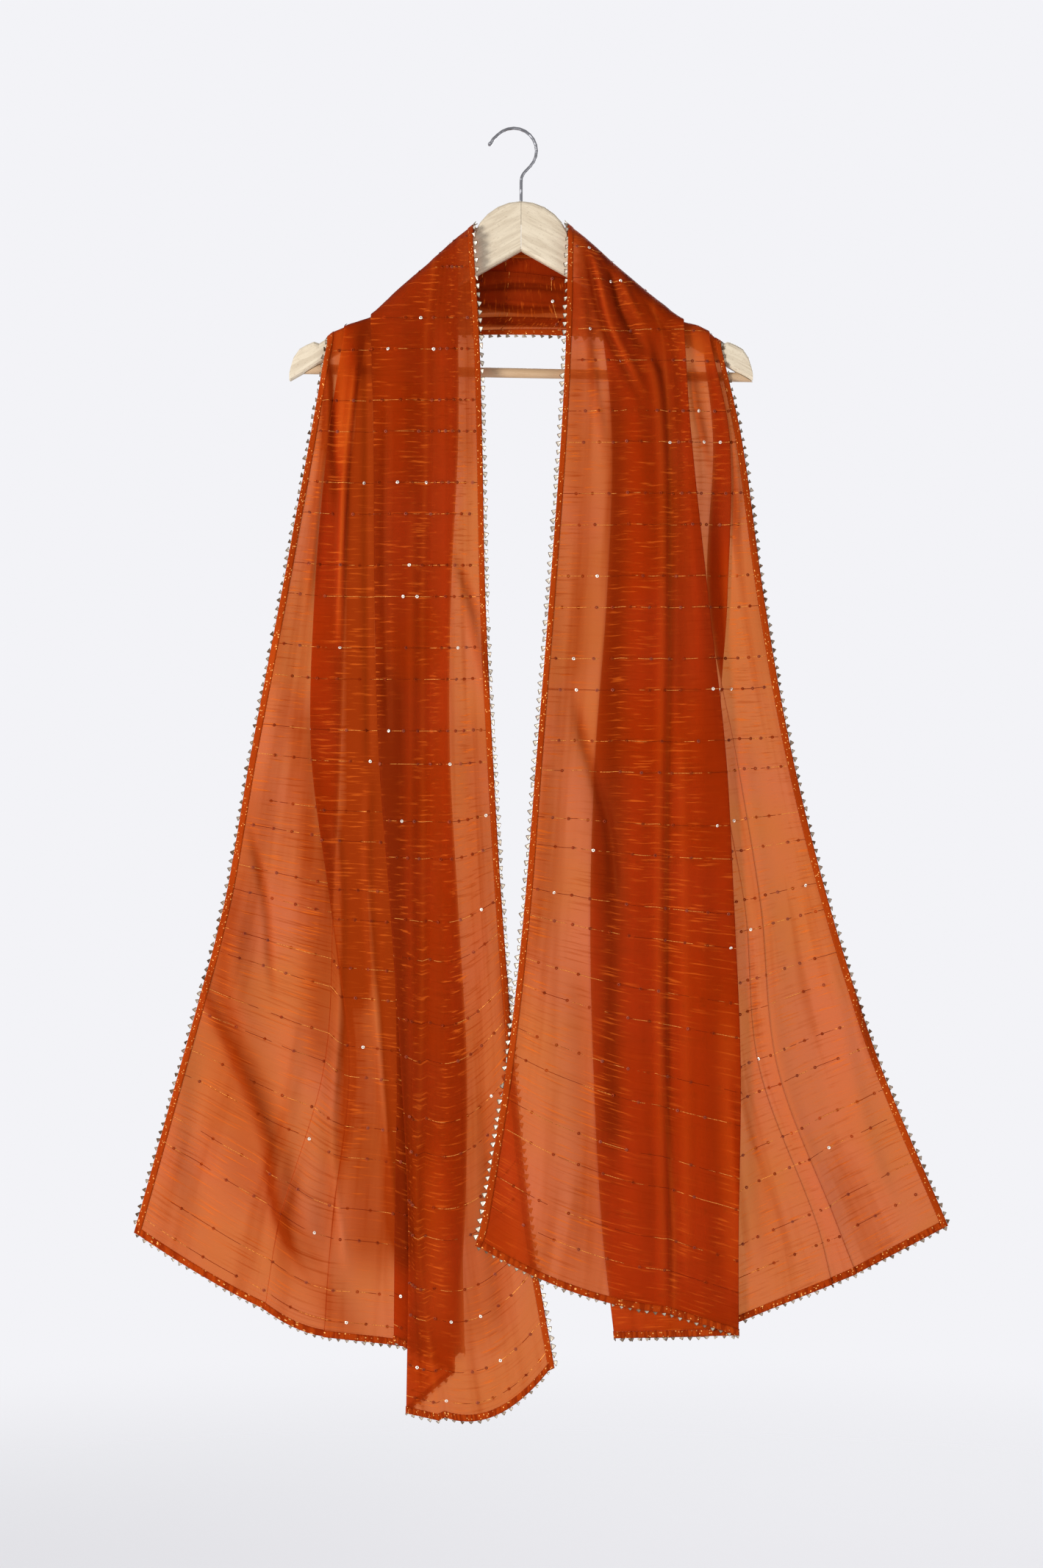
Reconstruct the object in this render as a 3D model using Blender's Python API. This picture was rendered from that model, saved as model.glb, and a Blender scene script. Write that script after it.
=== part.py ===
# Dupatta stole hung over a wooden coat hanger.
#
# Metres, +Z up, front towards -Y. The origin is the inner crown of the hanger's hook, where a rail
# carries it. Sizes in the tables are millimetres and are turned into metres when points are placed.
#
# The stole is one length of cloth, laid in pleats over the two arms of the hanger and swagged behind
# it. Nine pleat lines run along the cloth, numbered from its upper edge at the neck (0) to its lower
# edge (8). Between two lines lies one layer, and each layer lies behind the one before it.

import math
from collections import namedtuple

import bmesh
import bpy
import numpy as np
from mathutils import Vector
from mathutils.geometry import interpolate_bezier

MM = 0.001

# Cloth
CLOTH_WALL = 1.0
BINDING_WALL = 1.4
BINDING_WIDTH = 6.3
LACE_WALL = 1.0
LACE_WIDTH = 4.5
SEAM_GAP = 0.3
CREST_GAP = 0.7
PANEL_EDGE = BINDING_WIDTH + SEAM_GAP
PITCH_AT_CREST = 1.5
PITCH_IN_FALL = 2.1
PITCH_CHANGE_TOP = -200.0
PITCH_CHANGE_LOW = -320.0
CLEAR_OF_WOOD = 1.35
LAST_LEVEL = 6
ROWS_IN_FALL = 19
ROLL_ANGLES = (22.5, 45.0, 67.5)
NECK_ROLL_ANGLES = (90.0, 120.0, 150.0, 180.0)
NECK_HALF_SHARES = (0.0, 0.02, 0.045, 0.08, 0.16, 0.26, 0.38, 0.5)

# Hanger
ARM_THICKNESS = 12.0
HALF_ARM = ARM_THICKNESS / 2
SEAM_X = 7.0
REACH = 222.5
DOME_RADIUS = 48.0
APEX_Z = -117.0
UNDERSIDE_SLOPE = 0.563
BAR_DIAMETER = 9.5
BAR_LEFT_Z = -230.2
BAR_RIGHT_Z = -238.0
BAR_SIDES = 16
WIRE_DIAMETER = 3.0
HOOK_RADIUS = 21.8
SHAFT_BEND_Z = -52.0
SHAFT_END_Z = -91.0
SHAFT_HOLE_DEPTH = -92.5
SHAFT_CLEARANCE = 0.3

# Height of the arm's top edge and the rounding of its corners, by distance from the middle seam.
# Under the cloth, from 46 to 186 mm out, the edge is fully rounded.
ArmStation = namedtuple("ArmStation", "reach top corner")
ARM_STATIONS = (
    ArmStation(44, -101, 4.5),
    ArmStation(50, -105, 5.8),
    ArmStation(61, -113.5, 5.8),
    ArmStation(73, -124, 5.8),
    ArmStation(88, -138, 5.8),
    ArmStation(107, -154, 5.8),
    ArmStation(128, -172, 5.8),
    ArmStation(144, -182, 5.5),
    ArmStation(157, -187, 5.5),
    ArmStation(170, -190.5, 5.8),
    ArmStation(180, -195, 5.8),
    ArmStation(187, -201, 5.6),
    ArmStation(194, -205.5, 5.6),
    ArmStation(199, -204, 4.5),
    ArmStation(206, -207, 4.0),
    ArmStation(213, -211, 4.0),
    ArmStation(218.5, -219, 4.0),
    ArmStation(221.5, -229, 3.5),
)
# Inside this reach the cloth leaves the wood and leans on the side of the dome.
DOME_FOOT_REACH = 50.0
DOME_FOOT_SLOPE = 0.8
DOME_ANGLES = (90, 104, 118, 132, 144, 156)

# Where each pleat line crosses the arm, where it is at set heights, and where it meets the hem.
# Columns at_200 and on hold x at that many millimetres below the origin.
PleatLine = namedtuple(
    "PleatLine", "crest at_200 at_300 at_450 at_600 at_750 at_900 at_1050 hem_x hem_z"
)
HEIGHTS = (-200, -300, -450, -600, -750, -900, -1050)
LEFT_LINES = (
    PleatLine(-39, -33, -30, -27, -20, -11, 1, 16, 39, -1187),
    PleatLine(-77, -84, -84, -87, -87, -87, -89, -92, -72, -1238),
    PleatLine(-137, -136, -134, -133, -129, -118, -108, -101, -103, -1231),
    PleatLine(-53, -53, -53, -60, -61, -53, -45, -47, -57, -1192),
    PleatLine(-132, -132, -131, -130, -127, -116, -112, -114, -115, -1163),
    PleatLine(-70, -70, -68, -68, -70, -65, -57, -50, -47, -1175),
    PleatLine(-163, -167, -178, -191, -194, -175, -158, -174, -182, -1159),
    PleatLine(-140, -147, -154, -161, -166, -173, -182, -225, -239, -1133),
    PleatLine(-179, -180, -196, -223, -252, -279, -320, -359, -365, -1060),
)
RIGHT_LINES = (
    PleatLine(52, 50, 45, 34, 22, 10, -7, -31, -37, -1070),
    PleatLine(134, 142, 149, 149, 146, 144, 142, 153, 153, -1136),
    PleatLine(163, 166, 170, 186, 203, 211, 217, 215, 215, -1156),
    PleatLine(69, 85, 94, 89, 78, 73, 76, 84, 96, -1158),
    PleatLine(156, 158, 162, 166, 160, 150, 145, 148, 150, -1158),
    PleatLine(106, 112, 122, 140, 164, 170, 175, 180, 182, -1158),
    PleatLine(188, 191, 207, 205, 198, 222, 235, 290, 305, -1108),
    PleatLine(180, 186, 191, 186, 213, 237, 252, 309, 328, -1098),
    PleatLine(199, 199, 219, 240, 267, 304, 352, 414, 416, -1052),
)
# How far the hem hangs below the straight line between two pleat lines, a value for each layer.
LEFT_HEM_BULGE = (20, 0, 0, 0, 0, 0, 4, 3)
RIGHT_HEM_BULGE = (11, 0, 0, 0, 0, 0, 0, 0)
LAYER_LEVELS = (0, 0, 1, 2, 3, 4, 5, 6)
SOFT_LINE = 1
SOFT_LINE_HALF_WIDTH = 7.0
SOFT_LINE_HEIGHT = 0.5
LAST_LINE = 8

# Middle of the swag behind the hanger: its height for the upper edge and for the lower edge.
SWAG_UPPER_Z = -112.0
SWAG_LOWER_Z = -196.0

# How many points lie between two pleat lines.
POINTS_IN_LAYER = (2, 1, 1, 1, 1, 2, 1, 3)

# Soft folds that move every layer to the front (height above 0) or to the back. The fold runs
# through three points, and fades out over its first and last 60 mm.
SoftFold = namedtuple("SoftFold", "x_top z_top x_mid z_mid x_low z_low half_width height")
LEFT_FOLDS = (
    SoftFold(-268, -720, -258, -930, -160, -1170, 17, 7.0),
    SoftFold(-156, -830, -171, -964, -190, -1110, 11, -4.0),
    SoftFold(-200, -330, -236, -600, -300, -900, 15, 4.0),
)
RIGHT_FOLDS = (
    SoftFold(74, -128, 96, -180, 110, -245, 9, 4.5),
    SoftFold(52, -520, 76, -620, 100, -780, 13, -4.0),
    SoftFold(236, -790, 272, -962, 330, -1110, 15, 6.0),
    SoftFold(330, -760, 345, -900, 375, -1040, 16, -4.0),
)
FOLD_FADE = 60.0
# The falls swing apart, so that the right one passes in front of the left one where they cross.
SWING = 2.6
SWING_TOP = -560.0
SWING_LOW = -820.0
BILLOW = 2.5
BILLOW_WIDTH = 300.0
BILLOW_TOP = -260.0
BILLOW_LOW = -900.0


def clear_scene():
    for obj in list(bpy.data.objects):
        bpy.data.objects.remove(obj, do_unlink=True)


def finish_of(name, colour, roughness, metallic=0.0):
    material = bpy.data.materials.new(name)
    material.use_nodes = True
    shader = material.node_tree.nodes["Principled BSDF"]
    shader.inputs["Base Color"].default_value = (*colour, 1.0)
    shader.inputs["Roughness"].default_value = roughness
    shader.inputs["Metallic"].default_value = metallic
    material.diffuse_color = (*colour, 1.0)
    return material


def ease(value, start, end):
    """0 at start, 1 at end, smooth between."""
    share = min(max((value - start) / (end - start), 0.0), 1.0)
    return share * share * (3 - 2 * share)


def smooth_value(knots, at):
    """Value at a height on the smooth curve through (height, value) knots."""
    knots = sorted(knots)
    heights = [height for height, _ in knots]
    values = [value for _, value in knots]
    if at <= heights[0]:
        return values[0]
    if at >= heights[-1]:
        return values[-1]
    k = max(i for i, height in enumerate(heights[:-1]) if height <= at)

    def slope(i):
        before, after = max(i - 1, 0), min(i + 1, len(knots) - 1)
        return (values[after] - values[before]) / (heights[after] - heights[before])

    span = heights[k + 1] - heights[k]
    s = (at - heights[k]) / span
    return (
        (2 * s**3 - 3 * s**2 + 1) * values[k]
        + (s**3 - 2 * s**2 + s) * span * slope(k)
        + (3 * s**2 - 2 * s**3) * values[k + 1]
        + (s**3 - s**2) * span * slope(k + 1)
    )


# Hanger shape


def underside_z(reach):
    return APEX_Z - UNDERSIDE_SLOPE * reach


def arm_top_z(reach):
    dome_edge = ARM_STATIONS[0]
    if reach < dome_edge.reach:
        return APEX_Z + math.sqrt(DOME_RADIUS**2 - reach**2)
    return float(
        np.interp(reach, [s.reach for s in ARM_STATIONS], [s.top for s in ARM_STATIONS])
    )


def roll_centre_z(x):
    """Height of the line that the cloth turns round as it crosses the arm."""
    reach = abs(x - SEAM_X)
    short = max(DOME_FOOT_REACH - reach, 0.0)
    return arm_top_z(reach + short) - HALF_ARM + DOME_FOOT_SLOPE * short


# Cloth shape


class Fall:
    """One hanging end of the stole, with its pleat lines ready to be read at any height."""

    def __init__(self, lines, hem_bulge, soft_folds, swing):
        self.lines = lines
        self.hem_bulge = hem_bulge
        self.soft_folds = soft_folds
        self.swing = swing
        self.crest_z = [roll_centre_z(line.crest) for line in lines]
        self.knots = []
        for line, crest_z in zip(lines, self.crest_z):
            knots = [(crest_z, line.crest), (line.hem_z, line.hem_x)]
            for height, x in zip(HEIGHTS, line[1:8]):
                if line.hem_z + 15 < height < crest_z - 15:
                    knots.append((height, x))
            self.knots.append(knots)

    def line_points(self, share, lift):
        """(x, z) of each pleat line, at a share of the way from the hem to the crest. The hem end
        is raised by lift."""
        points = []
        for line, crest_z, knots in zip(self.lines, self.crest_z, self.knots):
            low = line.hem_z + lift
            z = low + (crest_z - low) * share
            x = smooth_value(knots, z)
            if lift < 0 and share == 0:
                x = line.hem_x
            points.append((x, z))
        return points

    def forward(self, x, z):
        """How far soft folds, swing and billow bring the cloth forward at this place."""
        total = self.swing * (1 - ease(z, SWING_LOW, SWING_TOP))
        total += (
            BILLOW
            * (1 - ease(z, BILLOW_LOW, BILLOW_TOP))
            * math.sin(2 * math.pi * x / BILLOW_WIDTH)
        )
        for fold in self.soft_folds:
            if not fold.z_low < z < fold.z_top:
                continue
            middle = smooth_value(
                ((fold.z_low, fold.x_low), (fold.z_mid, fold.x_mid), (fold.z_top, fold.x_top)), z
            )
            fade = ease(z, fold.z_low, fold.z_low + FOLD_FADE) * (
                1 - ease(z, fold.z_top - FOLD_FADE, fold.z_top)
            )
            total += fold.height * fade * math.exp(-(((x - middle) / fold.half_width) ** 2))
        return total


def layer_depth(level, pitch):
    """Distance of a layer's middle from the face of the wood."""
    return CLEAR_OF_WOOD + (LAST_LEVEL - level) * pitch


def toward(start, end, distance):
    """Point at a distance from start towards end."""
    length = max(math.dist(start, end), 1e-6)
    share = distance / length
    return (
        start[0] + (end[0] - start[0]) * share,
        start[1] + (end[1] - start[1]) * share,
    )


def turn_length(lines, k, neighbour, radius):
    return min(radius, 0.35 * max(math.dist(lines[k], lines[neighbour]), 0.4))


def panel_columns():
    """Column names across the cloth, inside its two bindings: an edge, the points of each layer
    and the five points of each pleat's turn."""
    columns = [("upper edge", PANEL_EDGE)]
    for layer, count in enumerate(POINTS_IN_LAYER):
        columns += [("layer", layer, (i + 1) / (count + 1)) for i in range(count)]
        line = layer + 1
        if line == LAST_LINE:
            columns.append(("lower edge", PANEL_EDGE))
        elif line == SOFT_LINE:
            columns += [("soft", line, step) for step in (-1, 0, 1)]
        else:
            columns += [("turn", line, step) for step in (-2, -1, 0, 1, 2)]
    return columns


def full_columns():
    """Columns across the whole width, as a hem binding has them."""
    inner = panel_columns()[1:-1]
    return [("upper edge", 0.0), *inner, ("lower edge", 0.0)]


def section(lines, columns, pitch, bulge=None):
    """(x, z, depth) of each column on one row, from the row's pleat lines."""
    placed = []
    for column in columns:
        kind = column[0]
        if kind == "upper edge":
            x, z = toward(lines[0], lines[1], column[1])
            depth = layer_depth(LAYER_LEVELS[0], pitch)
        elif kind == "lower edge":
            x, z = toward(lines[-1], lines[-2], column[1])
            depth = layer_depth(LAYER_LEVELS[-1], pitch)
        elif kind == "layer":
            _, layer, share = column
            start, end = lines[layer], lines[layer + 1]
            if layer == 0:
                start = toward(start, end, PANEL_EDGE)
            if layer == LAST_LINE - 1:
                end = toward(end, start, PANEL_EDGE)
            x = start[0] + (end[0] - start[0]) * share
            z = start[1] + (end[1] - start[1]) * share
            if bulge:
                z -= bulge[layer] * 4 * share * (1 - share)
            depth = layer_depth(LAYER_LEVELS[layer], pitch)
        elif kind == "soft":
            _, k, step = column
            neighbour = k + 1 if step > 0 else k - 1
            x, z = toward(lines[k], lines[neighbour], SOFT_LINE_HALF_WIDTH * abs(step))
            depth = layer_depth(LAYER_LEVELS[k], pitch) + SOFT_LINE_HEIGHT * (1 - abs(step))
        else:
            _, k, step = column
            before = layer_depth(LAYER_LEVELS[k - 1], pitch)
            after = layer_depth(LAYER_LEVELS[k], pitch)
            radius = abs(before - after) / 2
            neighbour = k + 1 if step > 0 else k - 1
            reach = turn_length(lines, k, neighbour, radius)
            away = (0.0, 1 - math.sqrt(0.5), 1.0)[abs(step)]
            x, z = toward(lines[k], lines[neighbour], reach * away)
            share = (0.0, (1 - math.sqrt(0.5)) / 2, 0.5, (1 + math.sqrt(0.5)) / 2, 1.0)[step + 2]
            depth = before + (after - before) * share
        placed.append((x, z, depth))
    return placed


def crest_rise(fall, columns):
    """How far the arm's top stands above the straight line between pleat lines, for each column."""
    crest = section(fall.line_points(1.0, 0.0), columns, PITCH_AT_CREST)
    return [roll_centre_z(x) - z for x, z, _ in crest]


def fall_rows(fall, columns, shares, lift=0.0, with_roll=True):
    """Rows of points of one fall in millimetres, from the hem up and over the crest of the arm."""
    rows = []
    rises = crest_rise(fall, columns)
    for share in shares:
        lines = fall.line_points(share, lift)
        sag = [bulge * (1 - share) ** 2 for bulge in fall.hem_bulge]
        mean_z = sum(z for _, z in lines) / len(lines)
        pitch = PITCH_AT_CREST + (PITCH_IN_FALL - PITCH_AT_CREST) * (
            1 - ease(mean_z, PITCH_CHANGE_LOW, PITCH_CHANGE_TOP)
        )
        row = []
        for (x, z, depth), rise in zip(section(lines, columns, pitch, sag), rises):
            z += rise * share**2
            row.append((x, -(HALF_ARM + depth) - fall.forward(x, z), z))
        rows.append(row)
    if with_roll:
        lines = fall.line_points(1.0, 0.0)
        for angle in (*ROLL_ANGLES, 90.0):
            row = []
            for x, _, depth in section(lines, columns, PITCH_AT_CREST):
                radius = HALF_ARM + depth
                turn = math.radians(angle)
                if angle == 90.0:
                    turn -= CREST_GAP / 2 / radius
                z = roll_centre_z(x) + radius * math.sin(turn)
                row.append((x, -radius * math.cos(turn), z))
            rows.append(row)
    return rows


def neck_rows(left, right, columns):
    """Rows of the stretch behind the hanger, from the left arm's crest to the right arm's."""
    left_lines = left.line_points(1.0, 0.0)
    right_lines = right.line_points(1.0, 0.0)
    outward_left = abs(left_lines[-1][0] - left_lines[0][0])
    outward_right = abs(right_lines[-1][0] - right_lines[0][0])
    shares = [*NECK_HALF_SHARES, *(1 - share for share in NECK_HALF_SHARES[-2::-1])]
    rows = []
    for number, share in enumerate(shares):
        across = ease(share, 0.0, 1.0)
        lines = []
        for (left_x, left_z), (right_x, right_z) in zip(left_lines, right_lines):
            out = (
                abs(left_x - left_lines[0][0]) / outward_left
                + abs(right_x - right_lines[0][0]) / outward_right
            ) / 2
            middle_z = SWAG_UPPER_Z + (SWAG_LOWER_Z - SWAG_UPPER_Z) * out
            straight_z = left_z + (right_z - left_z) * across
            drop = middle_z - (left_z + right_z) / 2
            lines.append(
                (left_x + (right_x - left_x) * across, straight_z + drop * 4 * across * (1 - across))
            )
        from_end = min(number, len(shares) - 1 - number)
        turn = NECK_ROLL_ANGLES[min(from_end, len(NECK_ROLL_ANGLES) - 1)]
        row = []
        for x, z, depth in section(lines, columns, PITCH_AT_CREST):
            radius = HALF_ARM + depth
            angle = max(math.radians(turn), math.radians(90) + CREST_GAP / 2 / radius)
            if turn < NECK_ROLL_ANGLES[-1]:
                z = roll_centre_z(x)
            row.append((x, -radius * math.cos(angle), z + radius * math.sin(angle)))
        rows.append(row)
    return rows


def make_sheet(name, rows, wall, material):
    """A cloth wall through rows of points, given in millimetres."""
    across, along = len(rows[0]), len(rows)
    grid = bmesh.new()
    bmesh.ops.create_grid(grid, x_segments=across - 1, y_segments=along - 1, size=0.5)
    for vert in grid.verts:
        i = round((vert.co.x + 0.5) * (across - 1))
        j = round((vert.co.y + 0.5) * (along - 1))
        vert.co = Vector(rows[j][i]) * MM
    mesh = bpy.data.meshes.new(name)
    grid.to_mesh(mesh)
    grid.free()
    mesh.materials.append(material)
    mesh.shade_smooth()
    obj = bpy.data.objects.new(name, mesh)
    bpy.context.collection.objects.link(obj)
    solidify = obj.modifiers.new("wall", "SOLIDIFY")
    solidify.thickness = wall * MM
    solidify.offset = 0.0
    return obj


def make_stole(left, right):
    cloth = finish_of("rust chiffon", (0.60, 0.18, 0.055), 0.75)
    folded = finish_of("binding of folded chiffon", (0.45, 0.10, 0.012), 0.65)
    gold = finish_of("gold picot lace", (0.72, 0.48, 0.20), 0.4, 0.5)
    shares = [i / ROWS_IN_FALL for i in range(ROWS_IN_FALL + 1)]
    width_of = {
        "binding": ((0.0, BINDING_WIDTH), BINDING_WALL, folded),
        "lace": ((-SEAM_GAP - LACE_WIDTH, -SEAM_GAP), LACE_WALL, gold),
    }
    edge_of = {"inner": "upper edge", "outer": "lower edge"}
    for side, fall in (("left", left), ("right", right)):
        rows = fall_rows(fall, panel_columns(), shares, PANEL_EDGE)
        make_sheet(f"stole_{side}_fall", rows, CLOTH_WALL, cloth)
        for trim, (span, wall, material) in width_of.items():
            for edge, kind in edge_of.items():
                columns = [(kind, distance) for distance in span]
                rows = fall_rows(fall, columns, shares, PANEL_EDGE)
                make_sheet(f"{trim}_{side}_{edge}", rows, wall, material)
            hem = [
                fall_rows(fall, full_columns(), (0.0,), distance, with_roll=False)[0]
                for distance in span
            ]
            make_sheet(f"{trim}_{side}_hem", hem, wall, material)
    make_sheet("stole_neck", neck_rows(left, right, panel_columns()), CLOTH_WALL, cloth)
    for trim, (span, wall, material) in width_of.items():
        for edge, kind in (("upper", "upper edge"), ("lower", "lower edge")):
            rows = neck_rows(left, right, [(kind, distance) for distance in span])
            make_sheet(f"{trim}_neck_{edge}", rows, wall, material)


# Hanger


def arm_ring(x, top, bottom, corner):
    """Rounded rectangle across the arm, as (x, y, z) points in millimetres."""
    corner = min(corner, (top - bottom) / 2 - 0.05)
    ring = []
    for side_y, side_z, first_angle in ((1, 1, 0), (-1, 1, 90), (-1, -1, 180), (1, -1, 270)):
        centre_y = side_y * (HALF_ARM - corner)
        centre_z = (top - corner) if side_z > 0 else (bottom + corner)
        for angle in (0, 30, 60, 90):
            turn = math.radians(first_angle + angle)
            ring.append(
                (x, centre_y + corner * math.cos(turn), centre_z + corner * math.sin(turn))
            )
    return ring


def make_loft(name, rings, material):
    """A closed solid through rings of points in millimetres."""
    shape = bmesh.new()
    loops = [[shape.verts.new(Vector(point) * MM) for point in ring] for ring in rings]
    for first, second in zip(loops, loops[1:]):
        for i in range(len(first)):
            after = (i + 1) % len(first)
            shape.faces.new((first[i], first[after], second[after], second[i]))
    shape.faces.new(loops[0])
    shape.faces.new(loops[-1])
    bmesh.ops.recalc_face_normals(shape, faces=shape.faces)
    mesh = bpy.data.meshes.new(name)
    shape.to_mesh(mesh)
    shape.free()
    mesh.materials.append(material)
    mesh.shade_smooth()
    mesh.set_sharp_from_angle(angle=math.radians(40))
    obj = bpy.data.objects.new(name, mesh)
    bpy.context.collection.objects.link(obj)
    return obj


def make_arm(name, side, material, shaft_cutter):
    """One arm with its half of the dome. side is -1 for the left arm and 1 for the right."""
    rings = []
    for angle in DOME_ANGLES:
        reach = -DOME_RADIUS * math.cos(math.radians(angle))
        reach = max(reach, SEAM_GAP / 2)
        rings.append(arm_ring(SEAM_X + side * reach, arm_top_z(reach), underside_z(reach), 4.0))
    for station in ARM_STATIONS:
        rings.append(
            arm_ring(
                SEAM_X + side * station.reach, station.top, underside_z(station.reach), station.corner
            )
        )
    end_top = ARM_STATIONS[-1].top - 5.0
    rings.append(arm_ring(SEAM_X + side * REACH, end_top, underside_z(REACH) + 1.0, 2.5))
    arm = make_loft(name, rings, material)
    drill = arm.modifiers.new("hole for the hook", "BOOLEAN")
    drill.object = shaft_cutter
    return arm


def make_bar(material):
    """Round trouser bar, its ends cut to the slope of the arms' undersides."""
    radius = BAR_DIAMETER / 2
    end_gap = SEAM_GAP / math.sin(math.atan(UNDERSIDE_SLOPE))
    rings = []
    for side, centre_z in ((-1, BAR_LEFT_Z), (1, BAR_RIGHT_Z)):
        ring = []
        for i in range(BAR_SIDES):
            turn = 2 * math.pi * i / BAR_SIDES
            z = centre_z + radius * math.sin(turn)
            reach = (APEX_Z - z) / UNDERSIDE_SLOPE - end_gap
            ring.append((SEAM_X + side * reach, radius * math.cos(turn), z))
        rings.append(ring)
    make_loft("hanger_bar", rings, material)


def hook_route():
    """(x, z, thickness share) along the wire, from the ball at its tip to its foot in the wood."""
    centre_z = WIRE_DIAMETER / 2 - HOOK_RADIUS
    route = [(-24.2, -15.4, 0.5), (-23.6, -14.6, 1.2), (-22.6, -13.4, 1.35), (-21.6, -12.2, 1.1)]
    for angle in range(150, -46, -15):
        turn = math.radians(angle)
        radius = HOOK_RADIUS if angle < 150 else HOOK_RADIUS + 1.0
        route.append((radius * math.cos(turn), centre_z + radius * math.sin(turn), 1.0))
    last_x, last_z, _ = route[-1]
    pull = 10.0
    bend = interpolate_bezier(
        Vector((last_x, 0, last_z)),
        Vector((last_x - pull * 0.7, 0, last_z - pull * 0.7)),
        Vector((SEAM_X, 0, SHAFT_BEND_Z + pull * 0.8)),
        Vector((SEAM_X, 0, SHAFT_BEND_Z)),
        7,
    )
    route += [(point.x, point.z, 1.0) for point in bend[1:]]
    route += [(SEAM_X, SHAFT_END_Z, 1.0)]
    return route


def make_hook(material):
    curve = bpy.data.curves.new("hanger_hook", "CURVE")
    curve.dimensions = "3D"
    curve.bevel_depth = WIRE_DIAMETER / 2 * MM
    curve.bevel_resolution = 3
    curve.use_fill_caps = True
    route = hook_route()
    spline = curve.splines.new("POLY")
    spline.points.add(len(route) - 1)
    for point, (x, z, thickness) in zip(spline.points, route):
        point.co = (x * MM, 0.0, z * MM, 1.0)
        point.radius = thickness
    spline.use_smooth = True
    curve.materials.append(material)
    hook = bpy.data.objects.new("hanger_hook", curve)
    bpy.context.collection.objects.link(hook)


def make_shaft_cutter():
    """Guide for the hole that the hook's foot stands in."""
    cutter = bmesh.new()
    radius = (WIRE_DIAMETER / 2 + SHAFT_CLEARANCE) * MM
    top_z = -60.0
    bmesh.ops.create_cone(
        cutter,
        cap_ends=True,
        segments=16,
        radius1=radius,
        radius2=radius,
        depth=(top_z - SHAFT_HOLE_DEPTH) * MM,
    )
    mesh = bpy.data.meshes.new("shaft_hole")
    cutter.to_mesh(mesh)
    cutter.free()
    guide = bpy.data.objects.new("shaft_hole", mesh)
    guide.location = (SEAM_X * MM, 0.0, (top_z + SHAFT_HOLE_DEPTH) / 2 * MM)
    guide.hide_render = True
    guide.display_type = "WIRE"
    bpy.context.collection.objects.link(guide)
    return guide


def make_hanger():
    wood = finish_of("pale beech", (0.72, 0.60, 0.42), 0.5)
    chrome = finish_of("chromed wire", (0.75, 0.75, 0.76), 0.12, 1.0)
    cutter = make_shaft_cutter()
    make_arm("hanger_arm_left", -1, wood, cutter)
    make_arm("hanger_arm_right", 1, wood, cutter)
    make_bar(wood)
    make_hook(chrome)


clear_scene()
make_hanger()
make_stole(
    Fall(LEFT_LINES, LEFT_HEM_BULGE, LEFT_FOLDS, -SWING),
    Fall(RIGHT_LINES, RIGHT_HEM_BULGE, RIGHT_FOLDS, SWING),
)
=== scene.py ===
# Looks of a dupatta stole hung over a wooden coat hanger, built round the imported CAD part.
import math

import bmesh
import bpy
import numpy as np
from mathutils import Matrix, Vector


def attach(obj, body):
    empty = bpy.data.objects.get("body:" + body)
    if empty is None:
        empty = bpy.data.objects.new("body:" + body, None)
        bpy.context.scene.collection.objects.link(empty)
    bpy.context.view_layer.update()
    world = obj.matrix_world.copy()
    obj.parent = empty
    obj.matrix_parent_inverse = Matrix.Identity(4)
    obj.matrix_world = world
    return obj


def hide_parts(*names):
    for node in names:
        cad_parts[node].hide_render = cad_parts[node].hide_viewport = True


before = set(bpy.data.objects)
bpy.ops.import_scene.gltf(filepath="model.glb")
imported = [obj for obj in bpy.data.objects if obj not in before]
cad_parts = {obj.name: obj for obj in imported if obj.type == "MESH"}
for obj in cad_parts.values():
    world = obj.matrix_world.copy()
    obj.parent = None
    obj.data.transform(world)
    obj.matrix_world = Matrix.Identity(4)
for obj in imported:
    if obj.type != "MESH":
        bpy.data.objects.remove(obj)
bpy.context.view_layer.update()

mm = 0.001
body = "root"
print("frame loaded")


# Small helpers for nodes and meshes


def fill(tree, node, inputs):
    for key, value in inputs.items():
        if isinstance(value, bpy.types.NodeSocket):
            tree.links.new(value, node.inputs[key])
        else:
            node.inputs[key].default_value = value


def put(tree, kind, inputs=None, **settings):
    node = tree.nodes.new("ShaderNode" + kind)
    for key, value in settings.items():
        setattr(node, key, value)
    fill(tree, node, inputs or {})
    return node


def calc(tree, operation, a, b=0.0, c=0.0, clamp=False):
    return put(tree, "Math", {0: a, 1: b, 2: c}, operation=operation, use_clamp=clamp).outputs[0]


def mixColour(tree, factor, a, b):
    return put(tree, "Mix", {0: factor, 6: a, 7: b}, data_type="RGBA").outputs[2]


def ramp(tree, value, low, high, outLow=0.0, outHigh=1.0):
    values = {0: value, 1: low, 2: high, 3: outLow, 4: outHigh}
    return put(tree, "MapRange", values, interpolation_type="SMOOTHSTEP").outputs[0]


def stretchedNoise(tree, place, scale, detail=1.0, shift=(0, 0, 0), **more):
    # Noise with its own scale along each axis, so that it can be drawn out
    lie = put(tree, "Mapping", {"Vector": place, "Location": shift, "Scale": scale})
    values = {"Vector": lie.outputs[0], "Scale": 1.0, "Detail": detail, **more}
    return put(tree, "TexNoise", values).outputs[0]


def readValue(tree, name):
    return put(tree, "Attribute", attribute_name=name).outputs["Fac"]


def mixShader(tree, share, first, second):
    return put(tree, "MixShader", {0: share, 1: first.outputs[0], 2: second.outputs[0]})


def newMaterial(name):
    material = bpy.data.materials.new(name)
    material.use_nodes = True
    material.node_tree.nodes.clear()
    return material, material.node_tree


def finishMaterial(material, shader):
    put(material.node_tree, "OutputMaterial", {"Surface": shader.outputs[0]})
    return material


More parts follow.
